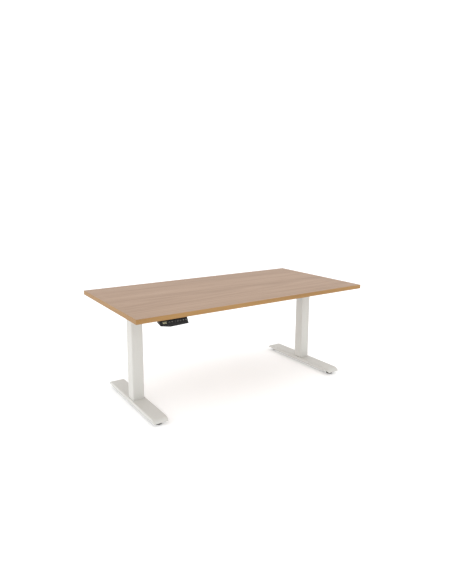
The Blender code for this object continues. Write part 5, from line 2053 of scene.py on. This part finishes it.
@dataclass
class Handset:
    """The handset: shell, gloss panel, lens with its number, and seven keys with marks."""

    slope: float = 0.615
    drops: tuple[float, float, float] = (0.0258, 0.0347, 0.0320)
    deepest: float = 0.052
    back_drop: float = 0.016
    edge: float = 0.0014
    panel_margin: float = 0.0030
    panel_height: float = 0.0250
    panel_thickness: float = 0.0015
    button_pitch: float = 0.016
    first_button: float = 0.052
    button_size: float = 0.0125
    button_proud: float = 0.0010
    button_thickness: float = 0.0030
    display_centre: float = 0.0265
    display_width: float = 0.026
    digit_width: float = 0.0042
    digit_height: float = 0.0078
    digit_bar: float = 0.0009
    bar_levels: tuple[float, float] = (0.00003, 0.00015)
    well_below: float = 0.005
    well_above: float = 0.003
    well_depth: float = 0.006
    fine_edge: float = 0.0004
    window_corner: float = 0.0010
    lens_corner: float = 0.0008
    key_corner: float = 0.0016
    dish_rim: float = 0.0005
    dish: float = 0.00018
    mark_height: float = 0.0063
    mark_depth: float = 0.00012
    mark_sink: float = 0.00016
    arrow_height: float = 0.0019
    arrow_half: float = 0.0030
    arrow_line: float = 0.0008
    keys: tuple[str, ...] = ("up", "down", *(f"preset_{n}" for n in range(1, 5)), "memory")
    number: str = "62.0"

    def build(self) -> None:
        """Model the shell, the panel, the keys and their marks, and the lit number."""
        self.shell().dress(HOUSING, "lift", "handset_shell")
        self.panel().dress(PANEL, "lift", "handset_panel")
        self.lens().dress(LENS, "lift", "handset_display")
        key = self.key()
        for index, label in enumerate(self.keys):
            body = f"button_{label}"
            place = self.on_face(self.key_x(index))
            key.copy(f"key_{label}", place).dress(BUTTON, body, body)
            self.mark(label).placed(place).dress(MARK, body)
        key.discard()
        self.digits().dress(DIGIT, "lift")

    def left(self) -> float:
        """The handset's left end."""
        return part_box("handset_shell")[0].x

    def key_x(self, index: int) -> float:
        """The middle of a key along the handset."""
        return self.left() + self.first_button + index * self.button_pitch

    def on_face(self, x: float) -> Matrix:
        """From a flat key's own frame to the row of keys on the sloping face.

        Args:
            x: The place along the handset.

        Returns:
            The matrix; its +Z is out of the face and its +Y up the face.
        """
        low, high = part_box("handset_shell")
        angle = atan2(1.0, self.slope)
        top = Vector((x, low.y + max(self.drops) * self.slope, high.z))
        row = self.panel_margin + self.panel_height / 2
        down = Vector((0.0, -cos(angle), -sin(angle)))
        return Matrix.Translation(top + down * row) @ Matrix.Rotation(angle, 4, "X")

    def shell(self) -> Work:
        """The shell, with a kink at its deepest point and a recess for the panel.

        Returns:
            The work on it.
        """
        low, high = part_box("handset_shell")
        kink = low.x + self.deepest
        work = Work.block("handset_case", low, high)
        work.split((kink, low.y, low.z), (1.0, 0.0, 0.0))
        face = low.y + max(self.drops) * self.slope
        work.pick(Element.VERT, lambda at, _: near(at.y, low.y) and near(at.z, high.z))
        work.move((0.0, face - low.y, 0.0))
        for x, drop in zip((low.x, kink, high.x), self.drops):
            work.pick(Element.VERT, lambda at, _: near(at.x, x) and near(at.y, low.y))
            work.move((0.0, face - drop * self.slope - low.y, high.z - drop - low.z))
        work.pick(Element.VERT, lambda at, _: near(at.y, high.y) and near(at.z, low.z))
        work.move((0.0, 0.0, high.z - self.back_drop - low.z))
        work.pick(
            Element.EDGE,
            lambda at, way: at.z < high.z - 0.001 and not (near(at.x, kink) and abs(way.x) < 0.5),
        )
        work.bevel(self.edge, 4)
        half = (high.x - low.x) / 2 - self.panel_margin
        rise = self.panel_height / 2
        sink = self.panel_thickness + GAP
        recess = Work.block("recess", (-half, -rise, -sink), (half, rise, sink))
        corner = (-half + GAP, -rise + self.well_below, -self.well_depth)
        well = Work.block("well", corner, (half - GAP, rise - self.well_above, 0.0))
        place = self.on_face(centre("handset_shell").x)
        return work.cut(recess.placed(place), well.placed(place))

    def panel(self) -> Work:
        """The gloss panel, its windows cut with round corners for the keys and the lens.

        Returns:
            The work on it.
        """
        low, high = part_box("handset_shell")
        middle = centre("handset_shell").x
        half = (high.x - low.x) / 2 - self.panel_margin - GAP
        rise = self.panel_height / 2 - GAP
        work = Work.block("gloss_front", (-half, -rise, -self.panel_thickness), (half, rise, 0.0))
        work.pick(Element.EDGE, lambda at, way: near(at.z, 0.0) and abs(way.z) < 0.1)
        work.bevel(self.fine_edge, 3)
        tall = self.button_size / 2 + GAP
        windows = [(self.key_x(index) - middle, tall) for index in range(len(self.keys))]
        display = self.left() + self.display_centre - middle
        windows.append((display, self.display_width / 2 + GAP))
        for x, wide in windows:
            window = Work.block("window", (x - wide, -tall, -0.01), (x + wide, tall, 0.01))
            work.cut(window.uprights().bevel(self.window_corner, 4))
        return work.placed(self.on_face(middle))

    def lens(self) -> Work:
        """The display's lens, with round corners.

        Returns:
            The work on it.
        """
        wide, tall = self.display_width / 2, self.button_size / 2
        work = Work.block("smoked_window", (-wide, -tall, -self.panel_thickness), (wide, tall, 0.0))
        work.uprights().bevel(self.lens_corner, 4)
        return work.placed(self.on_face(self.left() + self.display_centre))

    def key(self) -> Work:
        """One key, with round corners and a shallow dish.

        Returns:
            The work on it.
        """
        half = self.button_size / 2
        top = self.button_proud
        bottom = top - self.button_thickness
        work = Work.block("key", (-half, -half, bottom), (half, half, top))
        work.uprights().bevel(self.key_corner, 5)
        work.pick(Element.EDGE, lambda at, _: near(at.z, top)).bevel(self.fine_edge, 3)
        work.pick(Element.FACE, lambda _, normal: normal.z > 0.99).inset(self.dish_rim)
        work.pick(Element.FACE, lambda at, normal: normal.z > 0.99 and at.xy.length < NEAR)
        return work.inset(self.dish_rim, -self.dish)

    def mark(self, label: str) -> Work:
        """A key's printed mark: an arrow, a number or the memory sign.

        Args:
            label: The key's label.

        Returns:
            The work on it, in the key's own frame.
        """
        level = self.button_proud - self.mark_sink
        if label in ("up", "down"):
            tip = self.arrow_height if label == "up" else -self.arrow_height
            return self.chevron(f"mark_{label}", tip, level)
        text = label[-1] if label.startswith("preset") else "M"
        return self.letter(f"mark_{label}", text, level)

    def chevron(self, name: str, tip: float, level: float) -> Work:
        """A bent arrow, folded from a strip.

        Args:
            name: The piece's name.
            tip: How high its tip is; its ends are as far the other way.
            level: The height of its underside.

        Returns:
            The work on it.
        """
        path = [(-self.arrow_half, -tip / 2), (0.0, tip / 2), (self.arrow_half, -tip / 2)]
        work = Work.folded(name, path, 0.0, self.mark_depth)
        work.thicken(self.arrow_line, 0.0)
        upright = Matrix(((0, 1, 0, 0), (0, 0, 1, 0), (1, 0, 0, level), (0, 0, 0, 1)))
        return work.placed(upright)

    def letter(self, name: str, text: str, level: float) -> Work:
        """A printed number or letter, centred on its key.

        Args:
            name: The piece's name.
            text: What it reads.
            level: The height of its underside.

        Returns:
            The work on it.
        """
        deselect()
        bpy.ops.object.text_add()
        made = bpy.context.active_object
        made.data.body = text
        made.data.align_x = "CENTER"
        made.data.align_y = "CENTER"
        made.data.size = self.mark_height
        made.data.extrude = self.mark_depth / 2
        made.data.resolution_u = 6
        bpy.ops.object.convert(target="MESH")
        work = Work.started(name)
        work.edit(bpy.ops.mesh.remove_doubles, True, threshold=WELD)
        return work.placed(Matrix.Translation((0.0, 0.0, level + self.mark_depth / 2)))

    def digits(self) -> Work:
        """The number on the lens, in lit bars.

        Returns:
            The work on it.
        """
        wide, tall = self.digit_width / 2, self.digit_height / 2
        spots = {
            "a": (0.0, tall, True),
            "b": (wide, tall / 2, False),
            "c": (wide, -tall / 2, False),
            "d": (0.0, -tall, True),
            "e": (-wide, -tall / 2, False),
            "f": (-wide, tall / 2, False),
            "g": (0.0, 0.0, True),
        }
        lit = {"6": "acdefg", "2": "abdeg", "0": "abcdef"}
        step = self.digit_width + 3 * self.digit_bar
        start = -1.5 * step
        bars = []
        column = 0
        thin, gap = self.digit_bar / 2, self.digit_bar * 0.35
        for sign in self.number:
            if sign == ".":
                bars.append(self.bar(start + (column - 0.5) * step, -tall, thin, thin))
                continue
            for name in lit[sign]:
                x, y, flat = spots[name]
                size = (wide - gap, thin) if flat else (thin, tall / 2 - gap)
                bars.append(self.bar(start + column * step + x, y, *size))
            column += 1
        work = bars[0].join(*bars[1:])
        work.object.name = "lit_number"
        return work.placed(self.on_face(self.left() + self.display_centre + step / 2))

    def bar(self, x: float, y: float, half_x: float, half_y: float) -> Work:
        """One lit bar, just proud of the lens.

        Args:
            x: Its middle.
            y: Its middle.
            half_x: Half its width.
            half_y: Half its height.

        Returns:
            The work on it.
        """
        low, high = self.bar_levels
        work = Work.block("bar", (x - half_x, y - half_y, low), (x + half_x, y + half_y, high))
        return work.uprights().bevel(min(half_x, half_y) * 0.6, 2)


# Studio


@dataclass
class Studio:
    """Pale floor, soft lights and the camera."""

    eye: tuple[float, float, float] = (-1.672, -2.4693, 1.2424)
    yaw: float = radians(34.81)
    pitch: float = radians(9.95)
    roll: float = radians(0.496)
    lens: float = 29.28
    shift: tuple[float, float] = (-0.0140, -0.0336)
    floor_half: float = 40.0
    floor_tone: Colour = (0.90, 0.90, 0.90)
    floor_glow: float = 0.27
    sky: float = 1.12

    def build(self) -> None:
        """Lay the floor, light it and set the camera."""
        self.floor()
        self.light("soft_top", (0.2, -0.3, 3.4), (0.0, 0.0, 0.0), (4.2, 3.4), 14.0)
        self.light("soft_left", (-3.4, -0.6, 1.5), (0.0, 0.0, 0.45), (2.2, 2.0), 12.0)
        self.light("soft_front", (-0.8, -4.2, 1.6), (0.0, 0.0, 0.40), (2.8, 1.8), 3.0)
        self.world()
        self.camera()
        bpy.context.scene.view_settings.view_transform = "Standard"

    def floor(self) -> None:
        """A wide plain floor."""
        reach = self.floor_half
        floor = Work.block("studio_floor", (-reach, -reach, -0.01), (reach, reach, -0.0001))
        floor.open(lambda _, normal: normal.z < MOSTLY)
        graph = Graph("pale_floor")
        drift = graph.noise(0.4, detail=1.0)
        shade = graph.blend(drift, self.floor_tone, dimmed(self.floor_tone, 1.01))
        floor.object.data.materials.append(
            graph.close(
                Base_Color=shade,
                Roughness=0.9,
                Specular_IOR_Level=0.1,
                Emission_Color=self.floor_tone,
                Emission_Strength=self.floor_glow,
            )
        )

    def light(
        self, name: str, place: Point, aim: Point, size: tuple[float, float], power: float
    ) -> None:
        """Hang one soft light.

        Args:
            name: Its name.
            place: Where it hangs.
            aim: What it points at.
            size: Its width and height.
            power: Its power in watts.
        """
        lamp = bpy.data.lights.new(name, "AREA")
        lamp.shape = "RECTANGLE"
        lamp.size, lamp.size_y = size
        lamp.energy = power
        made = bpy.data.objects.new(name, lamp)
        made.location = place
        made.rotation_euler = (Vector(aim) - Vector(place)).to_track_quat("-Z", "Y").to_euler()
        bpy.context.scene.collection.objects.link(made)

    def world(self) -> None:
        """A plain white surround."""
        world = bpy.data.worlds.new("surround")
        world.use_nodes = True
        backdrop = world.node_tree.nodes["Background"]
        backdrop.inputs["Color"].default_value = (1.0, 1.0, 1.0, 1.0)
        backdrop.inputs["Strength"].default_value = self.sky
        bpy.context.scene.world = world

    def camera(self) -> None:
        """Set the camera at its viewing angle."""
        level = cos(self.pitch)
        ahead = Vector((sin(self.yaw) * level, cos(self.yaw) * level, -sin(self.pitch)))
        right = Vector((cos(self.yaw), -sin(self.yaw), 0.0))
        up = right.cross(ahead)
        tilted = cos(self.roll) * right + sin(self.roll) * up
        crown = cos(self.roll) * up - sin(self.roll) * right
        data = bpy.data.cameras.new("camera")
        data.lens = self.lens
        data.sensor_width = 36.0
        data.shift_x, data.shift_y = self.shift
        made = bpy.data.objects.new("camera", data)
        turn = Matrix((tilted, crown, -ahead)).transposed().to_4x4()
        made.matrix_world = Matrix.Translation(self.eye) @ turn
        bpy.context.scene.collection.objects.link(made)
        bpy.context.scene.camera = made


@dataclass
class Desk:
    """The whole desk, sub-assembly by sub-assembly."""

    places: Places

    def build(self) -> None:
        """Build and dress every sub-assembly in order."""
        Tabletop().build()
        Feet(self.places).build()
        Glides().build()
        Columns(self.places).build()
        Rails(self.places).build()
        Drives(self.places).build()
        ControlBox(self.places).build()
        Leads(self.places).build()
        Fasteners(self.places).build()
        Handset().build()


def main() -> None:
    """Load the frame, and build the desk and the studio."""
    logging.basicConfig(level=logging.INFO, format="%(message)s")
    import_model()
    Desk(Places.read()).build()
    Studio().build()


if __name__ == "__main__":
    main()
